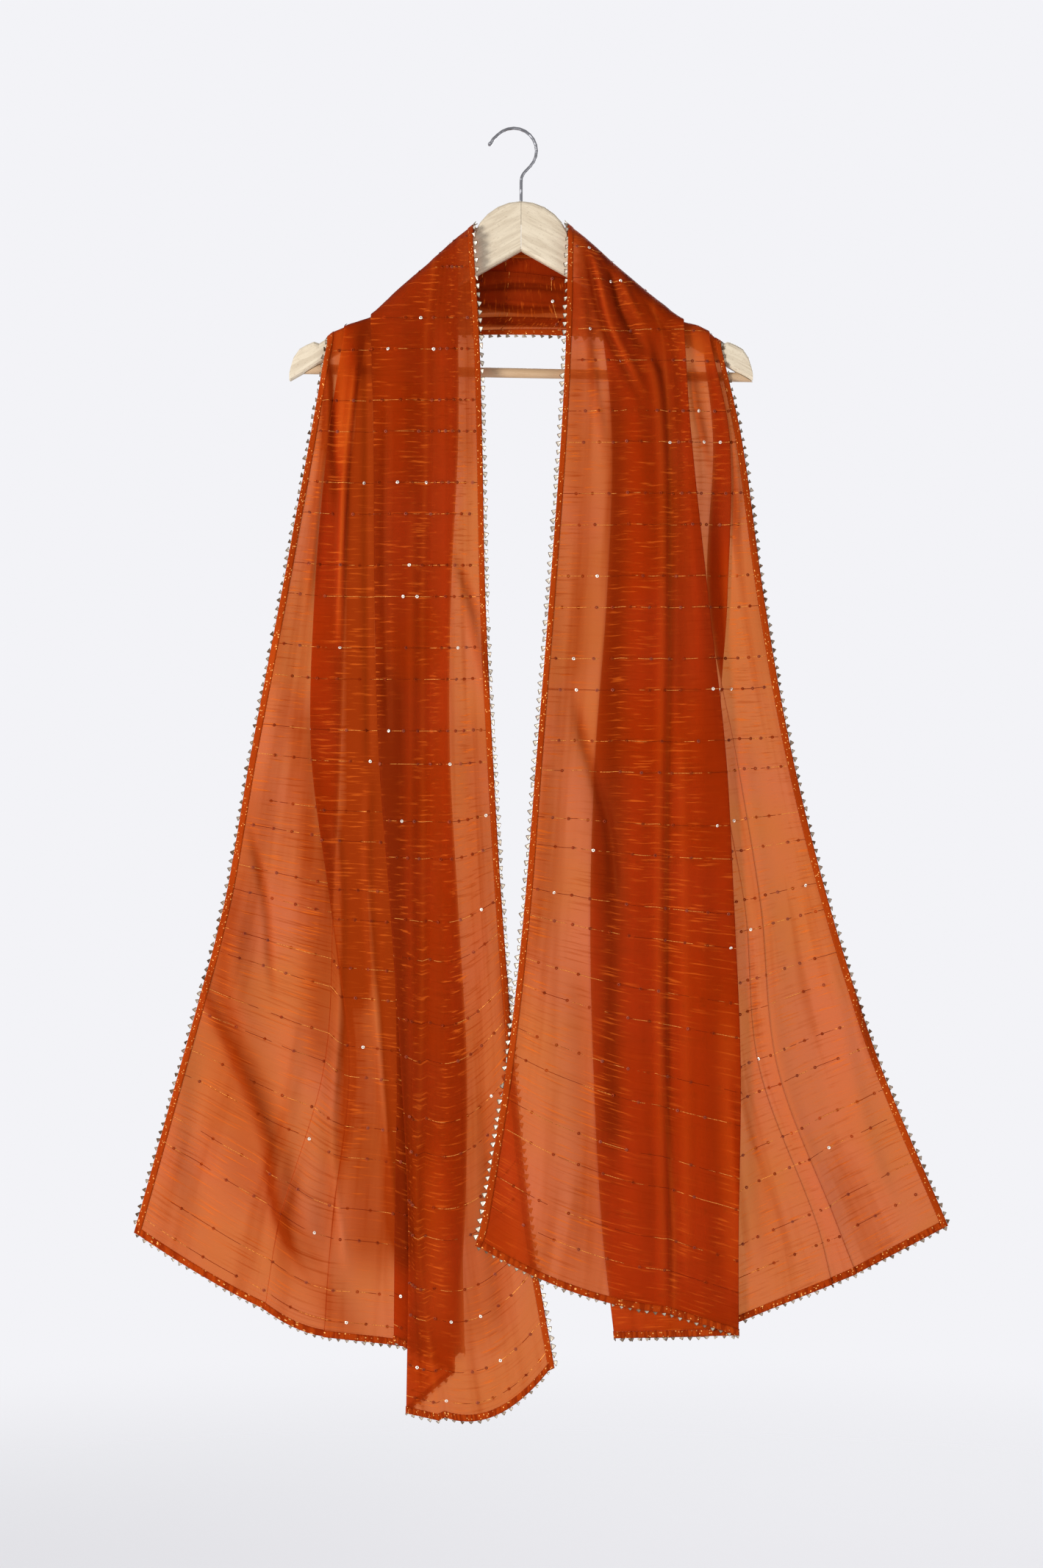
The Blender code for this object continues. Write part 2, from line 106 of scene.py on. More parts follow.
def newGroup(name, inputs, outputs):
    tree = bpy.data.node_groups.new(name, "ShaderNodeTree")
    for label, kind, value in inputs:
        socket = tree.interface.new_socket(label, in_out="INPUT", socket_type="NodeSocket" + kind)
        if value is not None:
            socket.default_value = value
    for label, kind in outputs:
        tree.interface.new_socket(label, in_out="OUTPUT", socket_type="NodeSocket" + kind)
    return tree, tree.nodes.new("NodeGroupInput").outputs, tree.nodes.new("NodeGroupOutput")


def putGroup(tree, group, inputs):
    return put(tree, "Group", inputs, node_tree=group).outputs


def meshFrom(shape, name):
    mesh = bpy.data.meshes.new(name)
    shape.to_mesh(mesh)
    shape.free()
    return mesh


def addObject(name, data):
    thing = bpy.data.objects.new(name, data)
    bpy.context.collection.objects.link(thing)
    return thing


def addPiece(name, shape, material):
    mesh = meshFrom(shape, name)
    mesh.materials.append(material)
    mesh.shade_smooth()
    piece = addObject(name, mesh)
    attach(piece, body)
    return piece


def addStrip(shape, points, metres, closed=False):
    # A grid of points, rows by columns, with the cloth's own coordinates at each of them
    along, across = points.shape[:2]
    layer = shape.loops.layers.uv.get("UVMap") or shape.loops.layers.uv.new("UVMap")
    made = bmesh.ops.create_grid(shape, x_segments=across - 1, y_segments=along - 1, size=0.5)
    place = {}
    for vert in made["verts"]:
        i = round((vert.co.x + 0.5) * (across - 1))
        j = round((vert.co.y + 0.5) * (along - 1))
        place[vert] = metres[j, i]
        vert.co = points[j, i]
    for face in {face for vert in made["verts"] for face in vert.link_faces}:
        for loop in face.loops:
            loop[layer].uv = place[loop.vert]
    if closed:
        bmesh.ops.remove_doubles(shape, verts=made["verts"], dist=1e-6)


# Camera, at the photograph's place in front of the hanger

view = {
    "x": 0.0074,
    "z": -0.629,
    "clothFront": -0.012,
    "distance": 3.0,
    "height": 1.5016,  # seen at that distance
    "sensor": 36.0,
}
camera = addObject("camera", bpy.data.cameras.new("camera"))
camera.data.sensor_width = view["sensor"]
camera.data.lens = view["sensor"] * view["distance"] / view["height"]
camera.location = (view["x"], view["clothFront"] - view["distance"], view["z"])
camera.rotation_euler = (math.pi / 2, 0, 0)
bpy.context.scene.camera = camera
bpy.context.scene.view_settings.view_transform = "Standard"


# Form of the stole: nine pleat lines, numbered from the upper edge at the neck to the lower edge.
# Sizes and places are in millimetres, and the flat cut in metres

stoleForm = {
    "halfArm": 6.0,
    "seamX": 7.0,
    "domeFootReach": 50.0,
    "domeFootSlope": 0.8,
    "clearOfWood": 1.35,
    "lastLevel": 6,
    "levels": (0, 0, 1, 2, 3, 4, 5, 6),  # of the eight layers, the last nearest to the wood
    "pitchAtCrest": 1.5,
    "pitchInFall": 2.1,
    "pitchLow": -320.0,
    "pitchTop": -200.0,
    "softHalfWidth": 7.0,
    "softHeight": 0.5,
    "turnShare": 0.35,
    "leastGap": 0.4,
    "mostInset": 0.4,
    "knotClear": 15,
    "edge": 6.3,
    "edgeColumns": (0.0, 1.6, 3.2, 4.8, 6.3),
    "columnsInLayer": (38, 16, 34, 26, 20, 42, 9, 52),
    "turnAngles": (-90, -62, -32, 0, 32, 62, 90),
    "softSteps": (-1.0, -0.5, 0.0, 0.5, 1.0),
    "rowsInFall": 130,
    "rowsInRoll": 8,
    "swagUpper": -112.0,
    "swagLower": -196.0,
    "neckShares": (0, 0.012, 0.025, 0.0375, 0.05, 0.065, 0.08, 0.1, 0.13),
    "neckRowsInMiddle": 32,
    "neckTurn": 0.08,
    "neckSettle": (0.03, 0.13),
    "foldFade": 60.0,
    "foldFadeParts": 2.2,
    "leftBulges": (20, 0, 0, 0, 0, 0, 4, 3),  # of each layer's hem
    "rightBulges": (11, 0, 0, 0, 0, 0, 0, 0),
    "swing": 2.6,
    "swingZ": (-820.0, -560.0),
    "closer": 0.55,
    "closerAt": (-163, -137, 163, 188),
    "closerWidth": 13.0,
    "billow": 2.5,
    "billowWidth": 300.0,
    "billowZ": (-900.0, -260.0),
    "inset": 3,  # columns from the binding's outer edge to the sheet's own
    "flat": (0.70, 2.30),
}
# Reach from the seam and height along the arm's top
armTop = (
    (50, -105), (61, -113.5), (73, -124), (88, -138), (107, -154), (128, -172), (144, -182),
    (157, -187), (170, -190.5), (180, -195), (187, -201), (194, -205.5), (199, -204), (206, -207),
)
heights = (-200, -300, -450, -600, -750, -900, -1050)
# Each line: x where it crosses the arm, x at the heights above, x and z at the hem
leftLines = (
    (-39, -33, -30, -27, -20, -11, 1, 16, 39, -1187),
    (-77, -84, -84, -87, -87, -87, -89, -92, -72, -1238),
    (-137, -136, -134, -133, -129, -118, -108, -101, -103, -1231),
    (-53, -53, -53, -60, -61, -53, -45, -47, -57, -1192),
    (-132, -132, -131, -130, -127, -116, -112, -114, -115, -1163),
    (-70, -70, -68, -68, -70, -65, -57, -50, -47, -1175),
    (-163, -167, -178, -191, -194, -175, -158, -174, -182, -1159),
    (-140, -147, -154, -161, -166, -173, -182, -225, -239, -1133),
    (-179, -180, -196, -223, -252, -279, -320, -359, -365, -1060),
)
rightLines = (
    (52, 50, 45, 34, 22, 10, -7, -31, -37, -1070),
    (134, 142, 149, 149, 146, 144, 142, 153, 153, -1136),
    (163, 166, 170, 186, 203, 211, 217, 215, 215, -1156),
    (69, 85, 94, 89, 78, 73, 76, 84, 96, -1158),
    (156, 158, 162, 166, 160, 150, 145, 148, 150, -1158),
    (106, 112, 122, 140, 164, 170, 175, 180, 182, -1158),
    (188, 191, 207, 205, 198, 222, 235, 290, 305, -1108),
    (180, 186, 191, 186, 213, 237, 252, 309, 328, -1098),
    (199, 199, 219, 240, 267, 304, 352, 414, 416, -1052),
)
# Each fold: half width, height (above 0 comes forward), density of the cloth with painted shade along the
# fold (below 0 a painted highlight), places from the top down
leftFolds = (
    (17, 7, 0, (-275, -720), (-250, -930), (-150, -1170)),
    (6, 4.2, 0.55, (-272, -690), (-298, -816), (-265, -895), (-237, -969), (-224, -1045), (-184, -1125)),
    (9, -3, 0.35, (-258, -700), (-280, -826), (-248, -905), (-221, -975), (-206, -1050), (-168, -1130)),
    (11, -4, 0.25, (-156, -830), (-171, -964), (-190, -1110)),
    (15, 4, 0, (-200, -330), (-236, -600), (-300, -900)),
    (4, -2.8, 0.45, (-258, -650), (-238, -743), (-234, -800), (-228, -850)),
    (12, 4, 0.1, (-300, -760), (-318, -900), (-330, -1060)),
    (16, -4.5, 0, (-290, -860), (-306, -960), (-290, -1090)),
    (9, 3.5, 0.05, (-209, -820), (-216, -940), (-228, -1100)),
    (14, 2, 0.5, (-206, -520), (-196, -680), (-187, -930)),
    (26, 0, 0.32, (-245, -600), (-262, -720), (-276, -830), (-262, -930), (-248, -1060)),
    (12, 0, 0.4, (-226, -990), (-218, -1070), (-206, -1130)),
    (18, 0, 0.4, (-190, -1090), (-168, -1140), (-140, -1180)),
    (10, 0, 0.35, (-10, -730), (-3, -820), (4, -930)),
    (20, 0, 0.32, (-40, -540), (-36, -760), (-38, -940), (-30, -1100), (-30, -1190)),
    (12, 0, 0.4, (-44, -150), (-42, -260), (-44, -360)),
    (17, 0, 1.1, (-150, -280), (-151, -600), (-147, -860)),
    (10, 0, 0.5, (-180, -190), (-184, -260), (-188, -330)),
    (16, 0, -0.35, (-84, -960), (-80, -1060), (-74, -1180)),
    (24, 1.2, 0.7, (-162, -640), (-158, -800), (-152, -900), (-144, -1025), (-138, -1120)),
    (13, 0.8, 1.7, (-122, -500), (-120, -700), (-116, -850), (-110, -1000), (-104, -1110)),
    (3.6, 3, -0.5, (-138, -600), (-140, -720), (-131, -860), (-122, -960), (-112, -1060)),
    (4, 3, -0.3, (-176, -640), (-166, -720), (-168, -860), (-174, -980), (-158, -1110)),
    (9, 0.6, 1.9, (-143, -160), (-144, -300), (-145, -450), (-145, -600), (-145, -730)),
    (3, 3, -1.4, (-148, -195), (-153, -240), (-160, -310), (-165, -400), (-168, -520)),
    (6, 0, -0.9, (-166, -165), (-166, -230), (-167, -300), (-172, -350)),
    (4, 3, 1, (-184, -185), (-179, -240), (-176, -300), (-172, -380)),
    (5, 3.4, 0.5, (-180, -190), (-178, -262), (-189, -374), (-198, -480)),
    (4, 2.2, -0.3, (-152, -180), (-157, -229), (-164, -290), (-164, -374), (-166, -460)),
    (3.6, -2.6, 0.8, (-143, -185), (-141, -270), (-141, -420), (-138, -640)),
    (8, 2.4, 0.35, (-208, -300), (-222, -440), (-232, -560)),
    (20, 4.5, 0, (-108, -150), (-110, -400), (-104, -760), (-98, -1200)),
    (4, 0.8, -0.3, (-96, -330), (-98, -520), (-98, -760), (-92, -1120)),
    (12, -2.5, 0, (-78, -170), (-80, -420), (-84, -800), (-84, -1200)),
    (3.4, -2.4, 0.3, (-122, -240), (-124, -420), (-120, -600)),
    (14, 3.5, 0, (-62, -150), (-64, -400), (-66, -760), (-60, -1160)),
    (4.5, -3.2, 0.5, (-60, -395), (-40, -455), (-24, -500)),
    (4.5, 2.6, 0.4, (-54, -430), (-34, -500), (-16, -590)),
    (13, 4, 0, (-38, -620), (-24, -800), (-6, -1000), (6, -1150)),
    (8, -3, 0.25, (-30, -900), (-22, -1040), (-8, -1180)),
    (6, 2.4, 0.35, (-14, -760), (-4, -930), (14, -1080)),
)
rightFolds = (
    (9, 4.5, 0, (74, -118), (96, -180), (110, -245)),
    (13, -4, 0.2, (52, -520), (76, -620), (100, -780)),
    (15, 6, 0, (236, -790), (272, -962), (330, -1110)),
    (16, -4, 0, (330, -760), (345, -900), (375, -1040)),
    (14, 0, 0.4, (60, -190), (62, -300), (66, -420), (58, -560)),
    (10, 0, 0.7, (96, -220), (98, -420), (94, -600), (92, -760), (94, -1000)),
    (10, 0, -0.5, (203, -820), (206, -960), (212, -1130)),
    (8, 0, -0.5, (204, -380), (205, -470), (207, -580)),
    (40, 0, -0.18, (250, -600), (290, -820), (320, -1010)),
    (4.5, -3.4, 0.5, (55, -530), (65, -579), (76, -620), (92, -679), (98, -760)),
    (4.2, 5, -0.45, (66, -92), (80, -140), (92, -190), (114, -234), (134, -275)),
    (3.2, -3, 1, (60, -92), (73, -140), (85, -190), (107, -236), (128, -280)),
    (3.4, -3.8, 1, (72, -92), (92, -140), (103, -180), (124, -214), (158, -250)),
    (4, 3.6, -0.35, (80, -96), (101, -140), (116, -176), (150, -222)),
    (3.2, -2.6, 0.7, (92, -110), (120, -160), (160, -214)),
    (4, 3, 0.3, (60, -116), (66, -170), (78, -250), (90, -330)),
    (4.4, 3.4, 0.55, (162, -190), (177, -280), (193, -345)),
    (4, 3.2, 0.2, (186, -200), (204, -270), (214, -340), (212, -430)),
    (9, 2.4, 0.1, (206, -300), (226, -420), (238, -560)),
    (16, 0, -1, (172, -182), (178, -210), (184, -240)),
    (9, 3.4, -0.25, (240, -815), (256, -916), (290, -1002), (322, -1095)),
    (18, 4, 0, (20, -420), (26, -700), (30, -900), (32, -1080)),
    (9, 1.6, 0.3, (34, -330), (38, -470), (30, -640), (14, -820)),
    (12, -3, 0.3, (62, -780), (66, -900), (70, -1100)),
    (18, 4.5, 0, (112, -200), (122, -420), (118, -760), (120, -1140)),
    (3.6, -2.4, 0.45, (126, -180), (146, -260), (151, -420), (147, -760), (152, -1150)),
    (4.5, 2.6, -0.4, (118, -180), (138, -260), (143, -420), (139, -760), (144, -1150)),
    (5, 2.4, -0.3, (160, -560), (164, -760), (166, -1120)),
    (12, 4, 0, (166, -250), (176, -450), (178, -760), (182, -1120)),
    (9, -3, 0.15, (196, -300), (199, -470), (214, -700), (228, -930), (244, -1110)),
    (10, 3.5, 0.1, (214, -560), (240, -740), (262, -860)),
    (4, 2.8, 0.4, (206, -880), (214, -1000), (226, -1110)),
    (13, -3.5, 0.08, (262, -700), (296, -900), (330, -1060)),
    (9, 3, 0, (296, -760), (336, -960), (372, -1060)),
    (4, 2.6, 0.35, (303, -690), (316, -760), (330, -850), (352, -930)),
)
# In the neck the folds lie level: half width, depth (above 0 goes back), density with painted shade (below
# 0 a painted highlight), places from left to right
neckFolds = (
    (2.6, 3.6, 1.4, (-58, -158), (-20, -150), (20, -149), (66, -155)),
    (4.5, -1.6, 0, (-58, -148), (0, -143), (66, -147)),
    (2.6, 3.2, 1.4, (-58, -163), (-24, -168), (14, -172), (66, -169)),
    (2.4, -1.8, -0.3, (-40, -160), (4, -165), (40, -168), (66, -168)),
    (2.8, 0, 0.7, (-58, -179), (0, -180), (66, -180)),
    (3, 0, 1.8, (-40, -116), (7, -117), (50, -116)),
    (2.2, 2, 0.6, (-58, -184), (0, -185), (66, -187)),
)


lastLine = len(leftLines) - 1


def ease(value, start, end):
    share = np.clip((value - start) / (end - start), 0.0, 1.0)
    return share * share * (3 - 2 * share)


def smoothLine(knots, at):
    knots = np.array(sorted(knots), float)
    place, value = knots[:, 0], knots[:, 1]
    before = np.maximum(np.arange(len(place)) - 1, 0)
    after = np.minimum(np.arange(len(place)) + 1, len(place) - 1)
    slope = (value[after] - value[before]) / (place[after] - place[before])
    at = np.clip(at, place[0], place[-1])
    k = np.clip(np.searchsorted(place, at, side="right") - 1, 0, len(place) - 2)
    span = place[k + 1] - place[k]
    s = (at - place[k]) / span
    return (
        (2 * s**3 - 3 * s**2 + 1) * value[k]
        + (s**3 - 2 * s**2 + s) * span * slope[k]
        + (3 * s**2 - 2 * s**3) * value[k + 1]
        + (s**3 - s**2) * span * slope[k + 1]
    )


def rollCentre(x):
    # Height of the line that the cloth turns round as it crosses the arm
    reach = np.abs(x - stoleForm["seamX"])
    short = np.maximum(stoleForm["domeFootReach"] - reach, 0.0)
    top = np.interp(reach + short, [r for r, _ in armTop], [z for _, z in armTop])
    return top - stoleForm["halfArm"] + stoleForm["domeFootSlope"] * short


def rollReach(x, depth, rise):
    # The stack of layers lies closer to the arm beside its outer pleats
    width = stoleForm["closerWidth"]
    near = sum(np.exp(-(((x - place) / width) ** 2)) for place in stoleForm["closerAt"])
    return stoleForm["halfArm"] + depth * (1 - stoleForm["closer"] * np.minimum(near, 1.0) * rise)


def pleatPoints(lines, share, lift):
    # Place of each pleat line at shares of the way from hem to crest, as lines by rows by (x, z)
    clear = stoleForm["knotClear"]
    placed = []
    for line in lines:
        crest, hemX, hemZ = rollCentre(line[0]), line[8], line[9]
        knots = [(crest, line[0]), (hemZ, hemX)]
        knots += [(h, x) for h, x in zip(heights, line[1:8]) if hemZ + clear < h < crest - clear]
        z = hemZ + lift + (crest - hemZ - lift) * share
        placed.append(np.stack([smoothLine(knots, z), z], axis=-1))
    return np.array(placed)


def layerDepth(level, pitch):
    return stoleForm["clearOfWood"] + (stoleForm["lastLevel"] - level) * pitch


def listColumns():
    # Columns across the cloth, from the upper edge to the lower edge
    columns = [("edge", 0, distance) for distance in stoleForm["edgeColumns"]]
    for layer, count in enumerate(stoleForm["columnsInLayer"]):
        columns += [("layer", layer, (i + 1) / (count + 1)) for i in range(count)]
        if layer == 0:
            columns += [("soft", 1, step) for step in stoleForm["softSteps"]]
        elif layer < lastLine - 1:
            columns += [("turn", layer + 1, math.radians(a)) for a in stoleForm["turnAngles"]]
    return columns + [("edge", lastLine, distance) for distance in reversed(stoleForm["edgeColumns"])]


def section(lines, columns, pitch, sag):
    # x, z and depth of every column, from the pleat lines' places on each row
    levels = stoleForm["levels"]
    gap = [np.linalg.norm(lines[k + 1] - lines[k], axis=1) for k in range(lastLine)]

    def inset(k, layer):
        # How far the turn at line k reaches into a layer, as a share of that layer
        if k in (0, lastLine):
            reach = np.full_like(pitch, stoleForm["edge"])
        elif k == 1:
            reach = np.full_like(pitch, stoleForm["softHalfWidth"])
        else:
            reach = np.minimum(pitch / 2, stoleForm["turnShare"] * gap[layer])
        return np.minimum(reach / np.maximum(gap[layer], stoleForm["leastGap"]), stoleForm["mostInset"])

    placed = []
    for kind, k, value in columns:
        if kind == "layer":
            first, last = inset(k, k), inset(k + 1, k)
            at = first + (1 - first - last) * value
            point = lines[k] + (lines[k + 1] - lines[k]) * at[:, None]
            point[:, 1] -= sag[k] * 4 * value * (1 - value)
            depth = layerDepth(levels[k], pitch)
        elif kind == "edge":
            other, layer = (1, 0) if k == 0 else (lastLine - 1, lastLine - 1)
            at = value / np.maximum(gap[layer], stoleForm["leastGap"])
            point = lines[k] + (lines[other] - lines[k]) * at[:, None]
            depth = layerDepth(levels[layer], pitch)
        else:
            side = 1 if value > 0 else -1
            layer = k if value > 0 else k - 1
            whole = inset(k, layer)
            if kind == "soft":
                at = whole * abs(value)
                bump = stoleForm["softHeight"] * (1 - ease(abs(value), 0.0, 1.0))
                depth = layerDepth(levels[k], pitch) + bump
            else:
                at = whole * (1 - math.cos(value))
                before, after = layerDepth(levels[k - 1], pitch), layerDepth(levels[k], pitch)
                depth = before + (after - before) * (1 + math.sin(value)) / 2
            point = lines[k] + (lines[k + side] - lines[k]) * at[:, None]
        placed.append(np.concatenate([point, depth[:, None]], axis=1))
    return np.stack(placed, axis=1)


def foldSum(along, over, folds, pick):
    # The folds' heights (pick 1) or densities with their painted shade and highlights (pick 2), added up at
    # each place
    total = np.zeros_like(along)
    for fold in folds:
        places = sorted((start, place) for place, start in fold[3:])
        first, last = places[0][0], places[-1][0]
        fadeLength = min(stoleForm["foldFade"], (last - first) / stoleForm["foldFadeParts"])
        fade = ease(along, first, first + fadeLength) * (1 - ease(along, last - fadeLength, last))
        away = (over - smoothLine(places, along)) / fold[0]
        total += fold[pick] * fade * np.exp(-(away**2))
    return total


def forward(x, z, folds, swing):
    total = swing * (1 - ease(z, *stoleForm["swingZ"]))
    wave = np.sin(2 * math.pi * x / stoleForm["billowWidth"])
    total += stoleForm["billow"] * (1 - ease(z, *stoleForm["billowZ"])) * wave
    return total + foldSum(z, x, folds, 1)


def fallRows(lines, hemBulge, folds, swing, columns):
    # Rows of one fall, from the hem up and over the arm's crest, in millimetres
    share = np.arange(stoleForm["rowsInFall"] + 1) / stoleForm["rowsInFall"]
    lift = np.array([*stoleForm["edgeColumns"][:-1], *[stoleForm["edge"]] * len(share)])
    share = np.concatenate([np.zeros(len(lift) - len(share)), share])
    points = pleatPoints(lines, share, lift)
    meanZ = points[:, :, 1].mean(axis=0)
    change = 1 - ease(meanZ, stoleForm["pitchLow"], stoleForm["pitchTop"])
    tight, loose = stoleForm["pitchAtCrest"], stoleForm["pitchInFall"]
    pitch = tight + (loose - tight) * change
    sag = np.array(hemBulge)[:, None] * (1 - share) ** 2
    flat = section(points, columns, pitch, sag)
    crest = flat[-1]
    x, z, depth = flat[..., 0], flat[..., 1], flat[..., 2]
    z = z + (rollCentre(crest[:, 0]) - crest[:, 1]) * share[:, None] ** 2
    y = -(stoleForm["halfArm"] + depth) - forward(x, z, folds, swing)
    rows = [np.stack([x, y, z], axis=-1)]
    x, depth = crest[:, 0], crest[:, 2]
    for angle in np.linspace(0, math.pi / 2, stoleForm["rowsInRoll"] + 1)[1:]:
        y = -(stoleForm["halfArm"] + depth) * math.cos(angle)
        z = rollCentre(x) + rollReach(x, depth, math.sin(angle)) * math.sin(angle)
        rows.append(np.stack([x, y, z], axis=-1)[None])
    return np.concatenate(rows)


def turnedRound(folds):
    # The neck's folds, which give x first, as foldSum reads them
    return [(*fold[:3], *[(z, x) for x, z in fold[3:]]) for fold in folds]


def neckRows(columns):
    # Rows behind the hanger, between the two crests
    one = np.ones(1)
    left = pleatPoints(leftLines, one, 0.0)[:, 0]
    right = pleatPoints(rightLines, one, 0.0)[:, 0]
    near = np.array(stoleForm["neckShares"][1:])
    middle = np.linspace(near[-1], 1 - near[-1], stoleForm["neckRowsInMiddle"])[1:-1]
    shares = np.concatenate([near, middle, 1 - near[::-1]])
    across = ease(shares, 0.0, 1.0)[:, None]
    spread = [np.abs((side[:, 0] - side[0, 0]) / (side[-1, 0] - side[0, 0])) for side in (left, right)]
    out = (spread[0] + spread[1]) / 2
    middleZ = stoleForm["swagUpper"] + (stoleForm["swagLower"] - stoleForm["swagUpper"]) * out
    drop = middleZ - (left[:, 1] + right[:, 1]) / 2
    x = left[:, 0] + (right[:, 0] - left[:, 0]) * across
    z = left[:, 1] + (right[:, 1] - left[:, 1]) * across + drop * 4 * across * (1 - across)
    lines = np.stack([x.T, z.T], axis=-1)
    pitch = np.full(len(shares), stoleForm["pitchAtCrest"])
    flat = section(lines, columns, pitch, np.zeros((lastLine, len(shares))))
    x, z, depth = flat[..., 0], flat[..., 1], flat[..., 2]
    fromEnd = np.minimum(shares, 1 - shares)[:, None]
    angle = math.pi / 2 + math.pi / 2 * np.clip(fromEnd / stoleForm["neckTurn"], 0, 1)
    base = rollCentre(x) + (z - rollCentre(x)) * ease(fromEnd, *stoleForm["neckSettle"])
    radius = stoleForm["halfArm"] + depth
    y = -radius * np.cos(angle) + foldSum(x, z, turnedRound(neckFolds), 1)
    return np.stack([x, y, base + rollReach(x, depth, np.sin(angle)) * np.sin(angle)], axis=-1)


def unitLong(values):
    return values / np.maximum(np.linalg.norm(values, axis=-1, keepdims=True), 1e-12)


columns = listColumns()
leftRows = fallRows(leftLines, stoleForm["leftBulges"], leftFolds, -stoleForm["swing"], columns)
rightRows = fallRows(rightLines, stoleForm["rightBulges"], rightFolds, stoleForm["swing"], columns)
clothPoints = np.concatenate([leftRows, neckRows(columns), rightRows[::-1]]) * mm

# Cloth coordinates in metres: across from the upper edge, along from the left hem. Thread rows are
# level at one height at the shoulders, and let go of it lower down
rowLevel = {"z": -0.23, "fade": (0.56, 1.02)}
stepAcross = np.linalg.norm(np.diff(clothPoints, axis=1), axis=2)
shareAcross = np.concatenate([[0], np.cumsum(stepAcross.mean(axis=0))])
acrossMetres = shareAcross / shareAcross[-1] * stoleForm["flat"][0]
stepAlong = np.linalg.norm(np.diff(clothPoints, axis=0), axis=2)
arc = np.vstack([np.zeros(len(columns)), np.cumsum(stepAlong, axis=0)])
leftEnd, rightStart = len(leftRows) - 1, len(clothPoints) - len(rightRows)
inNeck = np.clip((arc - arc[leftEnd]) / (arc[rightStart] - arc[leftEnd]), 0.0, 1.0)
alongMetres = arc + (stoleForm["flat"][1] - arc[-1]) * inNeck
for start, end, step in ((0, leftEnd + 1, 1), (len(arc) - 1, rightStart - 1, -1)):
    z, fromHem = clothPoints[start:end:step, :, 2], np.abs(arc - arc[start])[start:end:step]
    atLevel = [np.interp(rowLevel["z"], z[:, i], fromHem[:, i]) for i in range(len(columns))]
    held = 1 - ease(-z, *rowLevel["fade"])
    alongMetres[start:end:step] += step * (np.mean(atLevel) - np.array(atLevel)) * held
span = alongMetres[rightStart] - alongMetres[leftEnd]
inside = slice(leftEnd, rightStart)
alongMetres[inside] = alongMetres[leftEnd] + span * inNeck[inside]
clothMetres = np.stack([np.broadcast_to(acrossMetres, alongMetres.shape), alongMetres], axis=-1)
tangentAcross = np.gradient(clothPoints, axis=1)
tangentAlong = np.gradient(clothPoints, axis=0)
clothNormals = unitLong(np.cross(tangentAcross, tangentAlong))
print("stole form:", clothPoints.shape)


def between(values, at):
    # Value at a place between two neighbours
    j = min(int(at), len(values) - 2)
    part = at - j
    return values[j] * (1 - part) + values[j + 1] * part


def clothRow(along):
    # Points and normals on the cloth at a distance from the left hem, one for each column
    points, normals = [], []
    for i in range(len(columns)):
        at = np.interp(along, alongMetres[:, i], np.arange(len(alongMetres)))
        points.append(between(clothPoints[:, i], at))
        normals.append(between(clothNormals[:, i], at))
    return np.array(points), unitLong(np.array(normals))


# Weave and slubs, shared by the chiffon and its binding

weaveLook = {
    "slubs": {  # shift, scales across and along, start and end of the mask
        "Glinting slub": (0.0, (34, 430, 1), 0.55, 0.68),
        "Dark slub": (7.3, (22, 430, 1), 0.52, 0.70),
    },
    # Patches where the slubs show; for the bright ones they are painted glints, in bands of cloth that face
    # the light
    "patches": (26, 4, 1),
    "streaks": (42, 2.4, 1),
    "tone": 7.0,
}


def makeWeaveGroup():
    tree, given, result = newGroup(
        "weaveAndSlubs",
        [("Metres", "Vector", None), ("Pitch", "Float", 0.0006)],
        [(label, "Float") for label in ("Glinting slub", "Dark slub", "Streak", "Tone", "Height")],
    )
    metres = given["Metres"]
    masks = []
    # Slub threads in patches; the first mask is painted glints on slubs, the second darker slub threads
    for name, (shift, scale, low, high) in weaveLook["slubs"].items():
        slub = stretchedNoise(tree, metres, scale, 2.0, (shift, shift, 0), Roughness=0.6)
        patch = stretchedNoise(tree, metres, weaveLook["patches"], 1.0, (shift, 0, 0))
        thin = ramp(tree, slub, low, high)
        masks.append(calc(tree, "MULTIPLY", thin, ramp(tree, patch, 0.34, 0.62, 0.12, 1.0)))
        fill(tree, result, {name: masks[-1]})
    streak = stretchedNoise(tree, metres, weaveLook["streaks"], 3.0, (2.2, 0, 0), Roughness=0.55)
    tone = put(tree, "TexNoise", {"Vector": metres, "Scale": weaveLook["tone"], "Detail": 3.0})
    split = put(tree, "SeparateXYZ", {0: metres}).outputs
    turn = calc(tree, "DIVIDE", 2 * math.pi, given["Pitch"])
    warp = calc(tree, "SINE", calc(tree, "MULTIPLY", split[0], turn))
    weft = calc(tree, "SINE", calc(tree, "MULTIPLY", split[1], turn))
    height = calc(tree, "MULTIPLY_ADD", calc(tree, "MULTIPLY", warp, weft), 0.5, 0.5)
    fill(tree, result, {
        "Streak": ramp(tree, streak, 0.46, 0.72),
        "Tone": ramp(tree, tone.outputs[0], 0.35, 0.65),
        "Height": calc(tree, "MULTIPLY_ADD", masks[0], 0.8, height),
    })
    return tree


weaveGroup = makeWeaveGroup()

